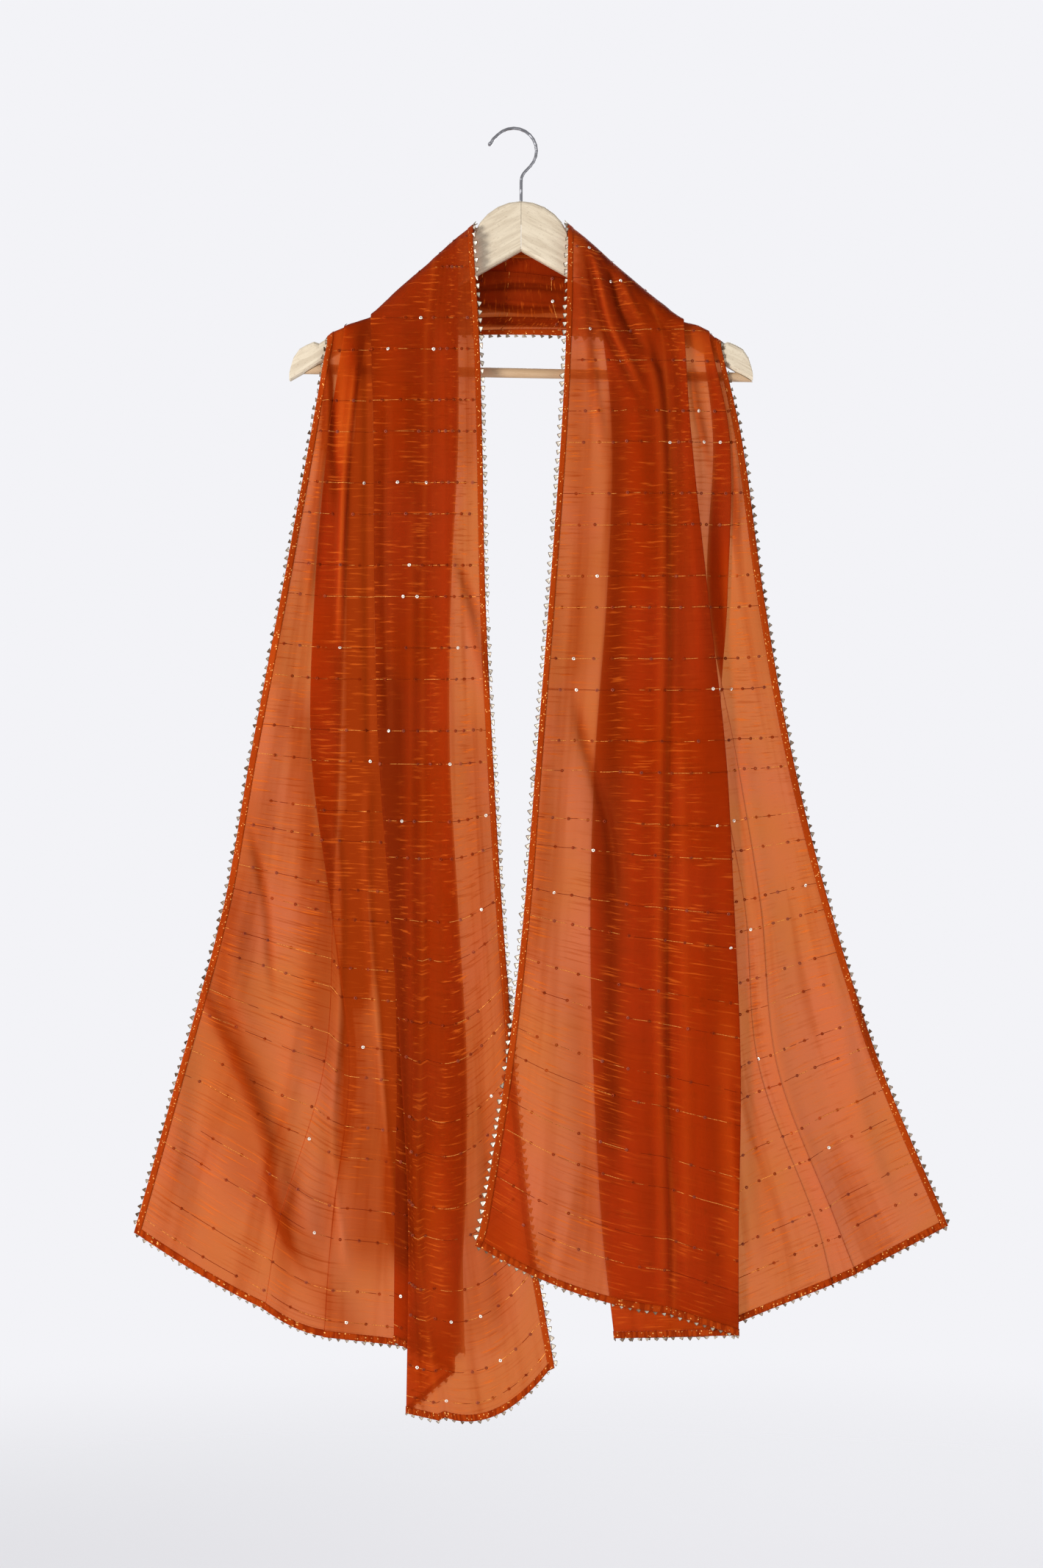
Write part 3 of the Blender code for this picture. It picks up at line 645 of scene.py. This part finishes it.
chiffonLook = {
    "body": (0.60, 0.058, 0.0035, 1),
    "blush": (0.62, 0.062, 0.008, 1),
    # Dark colour of denser cloth, also painted shade along folds and over the neck
    "denseAndShaded": (0.26, 0.018, 0.0015, 1),
    # Colour of the glinting slubs, also used for painted highlights on ridges and the crease
    "slub": (0.74, 0.135, 0.012, 1),
    "within": (0.68, 0.21, 0.042, 1),
    "withinDense": (0.33, 0.042, 0.003, 1),
    "shine": (1.0, 0.30, 0.04, 1),
    "through": (0.65, 0.275, 0.105, 1),
    "throughBlush": (0.70, 0.25, 0.16, 1),
    "throughDense": (0.26, 0.040, 0.004, 1),
    "translucent": 0.56,
    "cover": 0.70,
    "roughness": 0.42,
    "bend": 1.4,
    "leastFacing": 0.25,
    "turned": 0.6,
    # Painted shade over the whole neck, added to its fold densities
    "neckShade": 0.3,
    "creaseWidth": 0.8,  # in columns
}


def makeChiffon():
    material, tree = newMaterial("rustChiffon")
    metres = put(tree, "UVMap", uv_map="UVMap").outputs[0]
    weave = putGroup(tree, weaveGroup, {"Metres": metres, "Pitch": 0.0007})
    turned, creaseHighlight, foldDensityAndShading = (readValue(tree, name) for name in ("turned", "creaseHighlight", "foldDensityAndShading"))
    # Darker where the cloth is denser (turned from the front, streaks, dark slubs, folds) and where folds
    # and the neck get painted shade
    densityAndShading = calc(tree, "MULTIPLY_ADD", weave["Streak"], 0.36, calc(tree, "ADD", turned, foldDensityAndShading))
    densityAndShading = calc(tree, "MULTIPLY_ADD", weave["Dark slub"], 0.35, densityAndShading, clamp=True)
    # Painted highlights on folds of density below 0 and along the crease at line 1, added to the glinting
    # slubs
    thin = calc(tree, "MULTIPLY", foldDensityAndShading, -0.7)
    paintedHighlight = calc(tree, "MAXIMUM", thin, calc(tree, "MULTIPLY", creaseHighlight, 0.3))
    slub = calc(tree, "ADD", weave["Glinting slub"], paintedHighlight, clamp=True)
    colour = mixColour(tree, weave["Tone"], chiffonLook["body"], chiffonLook["blush"])
    colour = mixColour(tree, calc(tree, "MULTIPLY", densityAndShading, 0.7), colour, chiffonLook["denseAndShaded"])
    colour = mixColour(tree, calc(tree, "MULTIPLY", slub, 0.65), colour, chiffonLook["slub"])
    bump = put(tree, "Bump", {"Strength": 0.25, "Distance": 0.0002, "Height": weave["Height"]})
    front = put(tree, "BsdfPrincipled", {
        "Base Color": colour,
        "Roughness": chiffonLook["roughness"],
        "Specular IOR Level": 0.15,
        "Specular Tint": chiffonLook["shine"],
        "Normal": bump.outputs[0],
    })
    glow = mixColour(tree, densityAndShading, chiffonLook["within"], chiffonLook["withinDense"])
    within = put(tree, "BsdfTranslucent", {"Color": glow})
    share = calc(tree, "MULTIPLY_ADD", slub, -0.2, chiffonLook["translucent"])
    cloth = mixShader(tree, share, front, within)
    light = mixColour(tree, weave["Tone"], chiffonLook["through"], chiffonLook["throughBlush"])
    light = mixColour(tree, densityAndShading, light, chiffonLook["throughDense"])
    through = put(tree, "BsdfTransparent", {"Color": light})
    cover = calc(tree, "MULTIPLY_ADD", slub, 0.22, chiffonLook["cover"])
    cover = calc(tree, "MULTIPLY_ADD", densityAndShading, 0.24, cover, clamp=True)
    return finishMaterial(material, mixShader(tree, cover, through, cloth))


def addValues(piece, name, values):
    layer = piece.data.attributes.new(name, "FLOAT", "POINT")
    layer.data.foreach_set("value", values.astype(np.float32))


def makeStole():
    shape = bmesh.new()
    inner = slice(stoleForm["inset"], -stoleForm["inset"])
    addStrip(shape, clothPoints[inner, inner], clothMetres[inner, inner])
    piece = addPiece("stole", shape, makeChiffon())
    facing = np.maximum(np.abs(clothNormals[inner, inner, 1]), chiffonLook["leastFacing"])
    turned = np.clip(1 / facing - 1, 0, chiffonLook["bend"]) / chiffonLook["bend"]
    addValues(piece, "turned", turned.ravel() * chiffonLook["turned"])
    flatX, flatZ = clothPoints[..., 0] / mm, clothPoints[..., 2] / mm
    left, neck, right = slice(leftEnd + 1), slice(leftEnd + 1, rightStart), slice(rightStart, None)
    # Fold densities with painted shade along folds and painted highlights below 0, and painted shade over
    # the whole neck
    foldDensityAndShading = np.concatenate([
        foldSum(flatZ[left], flatX[left], leftFolds, 2),
        foldSum(flatX[neck], flatZ[neck], turnedRound(neckFolds), 2) + chiffonLook["neckShade"],
        foldSum(flatZ[right], flatX[right], rightFolds, 2),
    ])
    addValues(piece, "foldDensityAndShading", foldDensityAndShading[inner, inner].ravel())
    # A painted highlight along the crease at line 1
    fromCrease = np.arange(len(columns)) - columns.index(("soft", 1, 0.0))
    creaseHighlight = np.exp(-((fromCrease / chiffonLook["creaseWidth"]) ** 2))[inner]
    addValues(piece, "creaseHighlight", np.broadcast_to(creaseHighlight, turned.shape).ravel())
    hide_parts("stole_left_fall", "stole_neck", "stole_right_fall")
    return piece


stole = makeStole()
print("stole:", len(stole.data.polygons), "faces")


# Binding, folded round all four edges

bindingLook = {
    "wall": 1.1,
    "rows": 5,
    "hemDepth": 0.0064,
    "body": (0.44, 0.048, 0.003, 1),
    # The darker binding colour, for its random tone and for painted shade in the hems' crimps
    "fold": (0.27, 0.020, 0.001, 1),
    "gold": (1.0, 0.46, 0.12, 1),
    "through": (0.50, 0.08, 0.01, 1),
    "cover": 0.86,
}


def makeBindingLook():
    material, tree = newMaterial("foldedChiffonBinding")
    metres = put(tree, "UVMap", uv_map="UVMap").outputs[0]
    weave = putGroup(tree, weaveGroup, {"Metres": metres, "Pitch": 0.0008})
    split = put(tree, "SeparateXYZ", {0: metres}).outputs
    hemDepth = bindingLook["hemDepth"]
    nearHem = calc(tree, "LESS_THAN", split[1], hemDepth)
    farHem = calc(tree, "GREATER_THAN", split[1], stoleForm["flat"][1] - hemDepth)
    # Crimps along the two hems, darkened as painted shade in their pleats; the shade below mixes them with
    # random tone
    crimp = ramp(tree, stretchedNoise(tree, metres, (260, 40, 1)), 0.4, 0.6)
    crimp = calc(tree, "MULTIPLY", crimp, calc(tree, "ADD", nearHem, farHem))
    shade = calc(tree, "MAXIMUM", calc(tree, "MULTIPLY", weave["Tone"], 0.5), crimp)
    colour = mixColour(tree, shade, bindingLook["body"], bindingLook["fold"])
    fleck = put(tree, "TexVoronoi", {"Vector": metres, "Scale": 620.0})
    random = put(tree, "SeparateColor", {0: fleck.outputs["Color"]}).outputs[0]
    near = ramp(tree, fleck.outputs["Distance"], 0.34, 0.44, 1.0, 0.0)
    gold = calc(tree, "MULTIPLY", near, ramp(tree, random, 0.84, 0.88))
    colour = mixColour(tree, gold, colour, bindingLook["gold"])
    height = calc(tree, "MULTIPLY_ADD", crimp, -3.0, weave["Height"])
    bump = put(tree, "Bump", {"Strength": 0.5, "Distance": 0.0003, "Height": height})
    cloth = put(tree, "BsdfPrincipled", {
        "Base Color": colour,
        "Metallic": calc(tree, "MULTIPLY", gold, 0.4),
        "Roughness": ramp(tree, gold, 0.0, 1.0, 0.6, 0.25),
        "Specular IOR Level": 0.3,
        "Specular Tint": chiffonLook["shine"],
        "Normal": bump.outputs[0],
    })
    through = put(tree, "BsdfTransparent", {"Color": bindingLook["through"]})
    return finishMaterial(material, mixShader(tree, bindingLook["cover"], through, cloth))


def makeBinding():
    shape = bmesh.new()
    near, far = slice(0, bindingLook["rows"]), slice(-bindingLook["rows"], None)
    middle = slice(bindingLook["rows"] - 1, 1 - bindingLook["rows"])
    for rows, cols in ((slice(None), near), (slice(None), far), (near, middle), (far, middle)):
        addStrip(shape, clothPoints[rows, cols], clothMetres[rows, cols])
    piece = addPiece("binding", shape, makeBindingLook())
    solidify = piece.modifiers.new("fold", "SOLIDIFY")
    solidify.thickness = bindingLook["wall"] * mm
    solidify.offset = 0.0
    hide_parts(*[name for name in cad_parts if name.startswith("binding_")])
    return piece


binding = makeBinding()
print("binding done")


# Metal finishes: sequins, lace and hook share one fine wear

metalGroup, given, result = newGroup(
    "metalWear",
    [("Place", "Vector", None), ("Grain", "Float", 400.0), ("Wear", "Float", 0.5)],
    [("Mask", "Float"), ("Roughness", "Float")],
)
noise = put(metalGroup, "TexNoise", {"Vector": given["Place"], "Scale": given["Grain"], "Detail": 3.0})
mask = ramp(metalGroup, noise.outputs[0], 0.4, 0.62)
fill(metalGroup, result, {
    "Mask": calc(metalGroup, "MULTIPLY", mask, given["Wear"]),
    "Roughness": ramp(metalGroup, mask, 0.0, 1.0, 0.16, 0.34),
})


def makeMetal(name, bright, dull, grain, wear, shade=None, gloss=1.0, tint=(1, 1, 1, 1)):
    # The attribute that shade names turns each small piece towards the dull colour; on the sequins and
    # picots it paints which pieces glint and which lie in shade
    material, tree = newMaterial(name)
    place = put(tree, "TexCoord").outputs["Object"]
    worn = putGroup(tree, metalGroup, {"Place": place, "Grain": grain, "Wear": wear})
    share = worn["Mask"]
    if shade:
        share = calc(tree, "MAXIMUM", share, readValue(tree, shade))
    metal = put(tree, "BsdfPrincipled", {
        "Base Color": mixColour(tree, share, bright, dull),
        "Metallic": ramp(tree, share, 0.0, 1.0, gloss, gloss * 0.6),
        "Specular IOR Level": 0.3,
        "Specular Tint": tint,
        "Roughness": calc(tree, "MULTIPLY_ADD", share, 0.35, worn["Roughness"]),
    })
    return finishMaterial(material, metal)


# Lurex threads woven in pairs of rows, with a sequin about every two centimetres

threadRows = {
    "first": 0.017,
    "gaps": (0.030, 0.049),
    "halfWidth": 0.00026,
    "halfHeight": 0.00018,
    "inset": 4,
    "dark": (0.20, 0.016, 0.002, 1),
    "glint": (1.0, 0.40, 0.08, 1),
}
sequinLook = {
    "spacing": 0.0178,
    "spread": (0.85, 0.3),  # least share of the spacing, and how much chance adds
    "margin": 0.012,
    "radius": 0.0016,
    "segments": 9,
    "rings": ((0.74, 0.00022), (0.34, 0.00030)),  # share of the radius, rise
    "above": 0.0006,
    "tilts": (0.22, 0.2),
    "spin": 6.28,
    "skip": 0.07,
    "skipInNeck": 0.6,
    # Share of sequins given a painted glint; the rest are painted in shade
    "bright": 0.09,
    "dullSpread": 0.04,
    "towardsFront": 0.72,
    # gold is the sequins' painted glint, dark the same sequins in painted shade
    "gold": (1.0, 0.93, 0.80, 1),
    "dark": (0.24, 0.022, 0.003, 1),
    "seed": 11,
}


def listThreads():
    along, number = threadRows["first"], 0
    while along < stoleForm["flat"][1] - threadRows["first"]:
        yield along
        along += threadRows["gaps"][number % 2]
        number += 1


def makeLurex():
    material, tree = newMaterial("lurexThread")
    metres = put(tree, "UVMap", uv_map="UVMap").outputs[0]
    dash = stretchedNoise(tree, metres, (30, 60, 1))
    broken = stretchedNoise(tree, metres, (75, 60, 1), 2.0, (3.1, 0, 0))
    glitter = put(tree, "TexNoise", {"Vector": metres, "Scale": 1500.0, "Detail": 0.0})
    # The bright dashes are painted glints on the metal thread
    bright = ramp(tree, dash, 0.47, 0.53)
    bright = calc(tree, "MULTIPLY", bright, ramp(tree, glitter.outputs[0], 0.42, 0.52, 0.35, 1.0))
    thread = put(tree, "BsdfPrincipled", {
        "Base Color": mixColour(tree, bright, threadRows["dark"], threadRows["glint"]),
        "Metallic": ramp(tree, bright, 0.0, 1.0, 0.0, 0.35),
        "Roughness": 0.32,
        "Specular IOR Level": 0.2,
        "Specular Tint": chiffonLook["shine"],
    })
    shown = ramp(tree, broken, 0.42, 0.47)
    return finishMaterial(material, mixShader(tree, shown, put(tree, "BsdfTransparent"), thread))


def makeThreads():
    shape = bmesh.new()
    inner = slice(threadRows["inset"], -threadRows["inset"])
    for along in listThreads():
        points, normals = (values[inner] for values in clothRow(along))
        run = np.gradient(points, axis=0)
        side = unitLong(np.cross(normals, run)) * threadRows["halfWidth"]
        rise = normals * threadRows["halfHeight"]
        ring = [points + side, points + rise, points - side, points - rise, points + side]
        metres = np.stack([acrossMetres[inner], np.full(len(points), along)], axis=-1)
        metres = np.repeat(metres[:, None], len(ring), axis=1)
        addStrip(shape, np.stack(ring, axis=1), metres, closed=True)
    bmesh.ops.recalc_face_normals(shape, faces=shape.faces)
    return addPiece("lurex_threads", shape, makeLurex())


def growRing(shape, edges):
    # The ring's new points and edges, which still lie on the old ones
    grown = bmesh.ops.extrude_edge_only(shape, edges=edges)["geom"]
    verts = [item for item in grown if isinstance(item, bmesh.types.BMVert)]
    lines = [item for item in grown if isinstance(item, bmesh.types.BMEdge)]
    return verts, [line for line in lines if all(vert in verts for vert in line.verts)]


def makeSequinUnit():
    shape = bmesh.new()
    radius = sequinLook["radius"]
    bmesh.ops.create_circle(shape, segments=sequinLook["segments"], radius=radius)
    edges = list(shape.edges)
    for scale, rise in sequinLook["rings"]:
        verts, edges = growRing(shape, edges)
        for vert in verts:
            flat = Vector((vert.co.x, vert.co.y, 0)).normalized() * radius * scale
            vert.co = (flat.x, flat.y, rise)
    bmesh.ops.recalc_face_normals(shape, faces=shape.faces)
    return meshFrom(shape, "sequin")


def scatter(name, unit, places, shades, material, rim=None):
    # One joined mesh with a copy of the unit at each place, and a shade for each copy
    shape = bmesh.new()
    for place in places:
        shape.from_mesh(unit)
        count = len(unit.vertices)
        shape.verts.ensure_lookup_table()
        bmesh.ops.transform(shape, matrix=place, verts=shape.verts[-count:])
    piece = addPiece(name, shape, material)
    values = np.repeat(np.array(shades), len(unit.vertices))
    if rim is not None:
        values = np.maximum(values, np.tile(rim, len(places)))
    addValues(piece, "shade", values)
    return piece


def frameAt(point, along, normal):
    # Matrix whose X runs along and whose Z is the normal
    z = Vector(normal).normalized()
    x = Vector(along)
    x = (x - z * x.dot(z)).normalized()
    y = z.cross(x)
    turn = Matrix((x, y, z)).transposed().to_4x4()
    turn.translation = Vector(point)
    return turn


def tilted(random, tilts, axes):
    first, second = (Matrix.Rotation(random.normal(0, tilt), 4, axis) for tilt, axis in zip(tilts, axes))
    return first @ second


def makeSequins():
    random = np.random.default_rng(sequinLook["seed"])
    least, more = sequinLook["spread"]
    places, shades = [], []
    for along in listThreads():
        points, normals = clothRow(along)
        run = np.gradient(points, axis=0)
        at = sequinLook["margin"] + random.random() * sequinLook["spacing"]
        while at < stoleForm["flat"][0] - sequinLook["margin"]:
            i = np.interp(at, acrossMetres, np.arange(len(columns)))
            point = between(points, i)
            if random.random() > (sequinLook["skip"] if point[1] < 0 else sequinLook["skipInNeck"]):
                normal = between(normals, i)
                tilt = tilted(random, sequinLook["tilts"], "XY")
                spin = Matrix.Rotation(random.random() * sequinLook["spin"], 4, "Z")
                if (normal[1] < 0) != (random.random() < sequinLook["towardsFront"]):
                    normal = -normal
                point = point + normal * sequinLook["above"]
                places.append(frameAt(point, run[int(i)], normal) @ tilt @ spin)
                # Painted glint on a few sequins, painted shade on the rest
                bright = random.random() < sequinLook["bright"]
                shades.append(0.0 if bright else 1.0 - sequinLook["dullSpread"] * random.random() ** 2)
            at += sequinLook["spacing"] * (least + more * random.random())
    gold, dark = sequinLook["gold"], sequinLook["dark"]
    material = makeMetal("goldSequin", gold, dark, 900.0, 0.15, "shade", 0.5, chiffonLook["shine"])
    return scatter("sequins", makeSequinUnit(), places, shades, material)


threads = makeThreads()
sequins = makeSequins()
print("threads and sequins:", len(threads.data.polygons), len(sequins.data.polygons))


# Picot lace and stitches along the whole edge

laceLook = {
    "pitch": 0.0082,
    "ends": (0.004, 0.002),
    "out": 0.0002,
    "halfBase": 3.4,
    "height": 4.8,
    "lean": 0.5,
    "cornerShare": 0.12,
    "wall": 0.3,
    "rings": ((0.84, 0.42), (0.92, 0.52)),  # share of the ring before, rise
    "tilts": (0.35, 0.2),
    "sizes": (0.98, 0.62, 0.74, 0.62),  # on the upper edge, right hem, lower edge and left hem
    "sizeSpread": 0.2,
    # Painted shade of the picots on each edge, in the order of sizes: on the upper edge they keep a painted
    # glint, elsewhere they lie darker
    "shades": (0.05, 0.5, 0.72, 0.5),
    "shadeSpread": 0.5,
    # gold carries the picots' painted glint and reflection, dark their painted shade
    "gold": (1.0, 0.89, 0.72, 1),
    "dark": (0.13, 0.07, 0.035, 1),
    "seed": 5,
}


def edgeLoop(inset=0):
    # Points, outward directions, normals and distances on each edge, or a few columns inside it
    a, b = inset, -1 - inset
    runs = [
        (clothPoints[:, a], clothPoints[:, a + 3], clothNormals[:, 3]),
        (clothPoints[b, :], clothPoints[b - 3, :], clothNormals[-4, :]),
        (clothPoints[::-1, b], clothPoints[::-1, b - 3], clothNormals[::-1, -4]),
        (clothPoints[a, ::-1], clothPoints[a + 3, ::-1], clothNormals[3, ::-1]),
    ]
    for edge, inside, normal in runs:
        distance = np.concatenate([[0], np.cumsum(np.linalg.norm(np.diff(edge, axis=0), axis=1))])
        yield edge, unitLong(edge - inside), normal, distance


def valueAt(values, distance, at):
    return np.array([np.interp(at, distance, values[:, axis]) for axis in range(3)])


def makePicotUnit():
    # A small triangle of three points to each corner and side, raised in the middle
    shape = bmesh.new()
    bmesh.ops.create_circle(shape, segments=9, radius=1.0)
    half, blunt = laceLook["halfBase"], laceLook["cornerShare"]
    corners = [Vector((-half, 0)), Vector((half, 0)), Vector((laceLook["lean"], laceLook["height"]))]
    ordered = sorted(shape.verts, key=lambda vert: math.atan2(vert.co.y, vert.co.x))
    for number, vert in enumerate(ordered):
        corner, step = corners[number // 3], number % 3
        after, before = corners[(number // 3 + 1) % 3], corners[(number // 3 - 1) % 3]
        place = (corner.lerp(before, blunt), corner.lerp(after, blunt), corner.lerp(after, 0.5))[step]
        vert.co = Vector((place.x, place.y, 0)) * mm
    middle = sum(corners, Vector((0, 0))) / 3 * mm
    centre = Vector((middle.x, middle.y, 0))
    edges = list(shape.edges)
    for scale, rise in laceLook["rings"]:
        verts, edges = growRing(shape, edges)
        for vert in verts:
            reach = (vert.co - centre) * scale
            vert.co = centre + Vector((reach.x, reach.y, rise * mm))
    bmesh.ops.contextual_create(shape, geom=edges)
    bmesh.ops.recalc_face_normals(shape, faces=shape.faces)
    bmesh.ops.solidify(shape, geom=list(shape.faces), thickness=laceLook["wall"] * mm)
    mesh = meshFrom(shape, "picot")
    # The outer ring takes the dark colour: an outline, partly stitching and partly painted shade on the
    # bent foil
    rimTop = laceLook["rings"][0][1] * mm / 2
    rim = np.array([vert.co.z < rimTop for vert in mesh.vertices])
    return mesh, rim


def makeLace():
    random = np.random.default_rng(laceLook["seed"])
    places, shades = [], []
    start, end = laceLook["ends"]
    for side, (edge, outward, normal, distance) in enumerate(edgeLoop()):
        for at in np.arange(start, distance[-1] - end, laceLook["pitch"]):
            point, out, up = (valueAt(values, distance, at) for values in (edge, outward, normal))
            place = frameAt(point + out * laceLook["out"], np.cross(out, up), up)
            tilt = tilted(random, laceLook["tilts"], "XZ")
            size = laceLook["sizes"][side] + laceLook["sizeSpread"] * random.random()
            places.append(place @ tilt @ Matrix.Scale(size, 4))
            shades.append(random.random() ** 2 * laceLook["shadeSpread"] + laceLook["shades"][side])
    material = makeMetal("goldLace", laceLook["gold"], laceLook["dark"], 700.0, 0.15, "shade", 0.45)
    unit, rim = makePicotUnit()
    piece = scatter("picot_lace", unit, places, shades, material, rim)
    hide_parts(*[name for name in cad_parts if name.startswith("lace_")])
    return piece


lace = makeLace()
print("lace:", len(lace.data.polygons))

stitchLook = {
    "pitch": 0.0034,
    "ends": 0.008,
    "halfSizes": (0.00115, 0.00024, 0.00018),
    "inset": 4,
    "above": 0.0007,
    "colour": (0.36, 0.035, 0.003, 1),
}


def makeCotton():
    material, tree = newMaterial("rustThread")
    cotton = put(tree, "BsdfPrincipled", {"Base Color": stitchLook["colour"], "Roughness": 0.6})
    return finishMaterial(material, cotton)


def makeStitches():
    unit = bmesh.new()
    bmesh.ops.create_icosphere(unit, subdivisions=1, radius=1.0)
    bmesh.ops.scale(unit, vec=stitchLook["halfSizes"], verts=unit.verts)
    stitch = meshFrom(unit, "stitch")
    places = []
    for edge, _, normal, distance in edgeLoop(stitchLook["inset"]):
        run = np.gradient(edge, axis=0)
        for at in np.arange(stitchLook["ends"], distance[-1] - stitchLook["ends"], stitchLook["pitch"]):
            up = valueAt(normal, distance, at)
            point = valueAt(edge, distance, at) + up * stitchLook["above"]
            places.append(frameAt(point, valueAt(run, distance, at), up))
    shades = [0.0] * len(places)
    return scatter("binding_stitches", stitch, places, shades, makeCotton())


stitches = makeStitches()
print("stitches:", len(stitches.data.polygons))


# Hanger: better finishes on the CAD nodes

woodLook = {
    "pale": (0.71, 0.61, 0.455, 1),
    "warm": (0.57, 0.47, 0.335, 1),
    "fleck": (0.32, 0.22, 0.12, 1),
    "shaded": (0.46, 0.25, 0.10, 1),
    "slope": math.atan(0.563),  # of the arms, which the grain follows
    "growth": (14, 150, 150),
    "flecks": (300, 1500, 1500),
}
hookLook = {"bright": (0.40, 0.40, 0.42, 1), "dull": (0.26, 0.26, 0.28, 1)}


def makeBeechGroup():
    tree, given, result = newGroup(
        "beechGrain",
        [("Place", "Vector", None)],
        [("Growth", "Float"), ("Fleck", "Float"), ("Height", "Float")],
    )
    growth = stretchedNoise(tree, given["Place"], woodLook["growth"], 5.0, Scale=1.6, Distortion=0.9)
    fleck = ramp(tree, stretchedNoise(tree, given["Place"], woodLook["flecks"]), 0.62, 0.72)
    fill(tree, result, {
        "Growth": ramp(tree, growth, 0.35, 0.68),
        "Fleck": fleck,
        "Height": calc(tree, "SUBTRACT", growth, calc(tree, "MULTIPLY", fleck, 0.5)),
    })
    return tree


beechGroup = makeBeechGroup()


def makeBeech(name, turn, shade):
    material, tree = newMaterial(name)
    place = put(tree, "TexCoord").outputs["Object"]
    turned = put(tree, "Mapping", {"Vector": place, "Rotation": (0, turn, 0)}).outputs[0]
    grain = putGroup(tree, beechGroup, {"Place": turned})
    colour = mixColour(tree, grain["Growth"], woodLook["pale"], woodLook["warm"])
    colour = mixColour(tree, calc(tree, "MULTIPLY", grain["Fleck"], 0.5), colour, woodLook["fleck"])
    colour = mixColour(tree, shade, colour, woodLook["shaded"])
    bump = put(tree, "Bump", {"Strength": 0.15, "Distance": 0.0003, "Height": grain["Height"]})
    wood = put(tree, "BsdfPrincipled", {
        "Base Color": colour,
        "Roughness": ramp(tree, grain["Growth"], 0.0, 1.0, 0.38, 0.5),
        "Coat Weight": 0.15,
        "Coat Roughness": 0.25,
        "Normal": bump.outputs[0],
    })
    return finishMaterial(material, wood)


def dress(node, material):
    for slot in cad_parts[node].material_slots:
        slot.material = material


dress("hanger_arm_left", makeBeech("beechLeftArm", woodLook["slope"], 0.0))
dress("hanger_arm_right", makeBeech("beechRightArm", -woodLook["slope"], 0.0))
dress("hanger_bar", makeBeech("beechBar", 0.0, 0.7))
dress("hanger_hook", makeMetal("chromedWire", hookLook["bright"], hookLook["dull"], 250.0, 0.3))
print("hanger done")


# Studio: pale floor, pale all round, soft lamps

studio = {
    "pale": (0.896, 0.896, 0.930, 1),
    "floorZ": -1.75,
    "floorRadius": 3.4,
    "floorFade": (0.9, 3.2),
    "floorPaint": (0.9, 0.9, 0.92, 1),
    "round": (0.42, 0.42, 0.44, 1),
    "aim": (0, 0, -0.6),
    "key": (-2.2, -2.0, -0.3, 84.0, 0.9),  # place, watts, width
    "fill": (2.2, -2.0, -0.9, 20.0, 1.8),
    "back": (0.8, 2.4, 0.4, 30.0, 2.0),
}


def makeFloorPaint():
    material, tree = newMaterial("paleFloor")
    place = put(tree, "TexCoord").outputs["Object"]
    split = put(tree, "SeparateXYZ", {0: place}).outputs
    flat = put(tree, "CombineXYZ", {0: split[0], 1: split[1]}).outputs[0]
    reach = put(tree, "VectorMath", {0: flat}, operation="LENGTH").outputs["Value"]
    fade = ramp(tree, reach, *studio["floorFade"], 1.0, 0.0)
    paint = put(tree, "BsdfPrincipled", {"Base Color": studio["floorPaint"], "Roughness": 0.8})
    return finishMaterial(material, mixShader(tree, fade, put(tree, "BsdfTransparent"), paint))


def makeFloor():
    shape = bmesh.new()
    radius = studio["floorRadius"]
    bmesh.ops.create_circle(shape, cap_ends=True, cap_tris=True, segments=96, radius=radius)
    bmesh.ops.translate(shape, vec=(0, 0, studio["floorZ"]), verts=shape.verts)
    mesh = meshFrom(shape, "floor")
    mesh.materials.append(makeFloorPaint())
    addObject("floor", mesh)


def makeLamp(name, x, y, z, power, size):
    lamp = bpy.data.lights.new(name, "AREA")
    lamp.shape = "DISK"
    lamp.size = size
    lamp.energy = power
    holder = addObject(name, lamp)
    holder.location = (x, y, z)
    away = Vector(studio["aim"]) - holder.location
    holder.rotation_euler = away.to_track_quat("-Z", "Y").to_euler()


makeFloor()
for name in ("key", "fill", "back"):
    makeLamp(name, *studio[name])
world = bpy.data.worlds.new("paleStudio")
world.use_nodes = True
tree = world.node_tree
seen = put(tree, "LightPath").outputs["Is Camera Ray"]
around = mixColour(tree, seen, studio["round"], studio["pale"])
tree.links.new(around, tree.nodes["Background"].inputs["Color"])
bpy.context.scene.world = world
print("studio done")
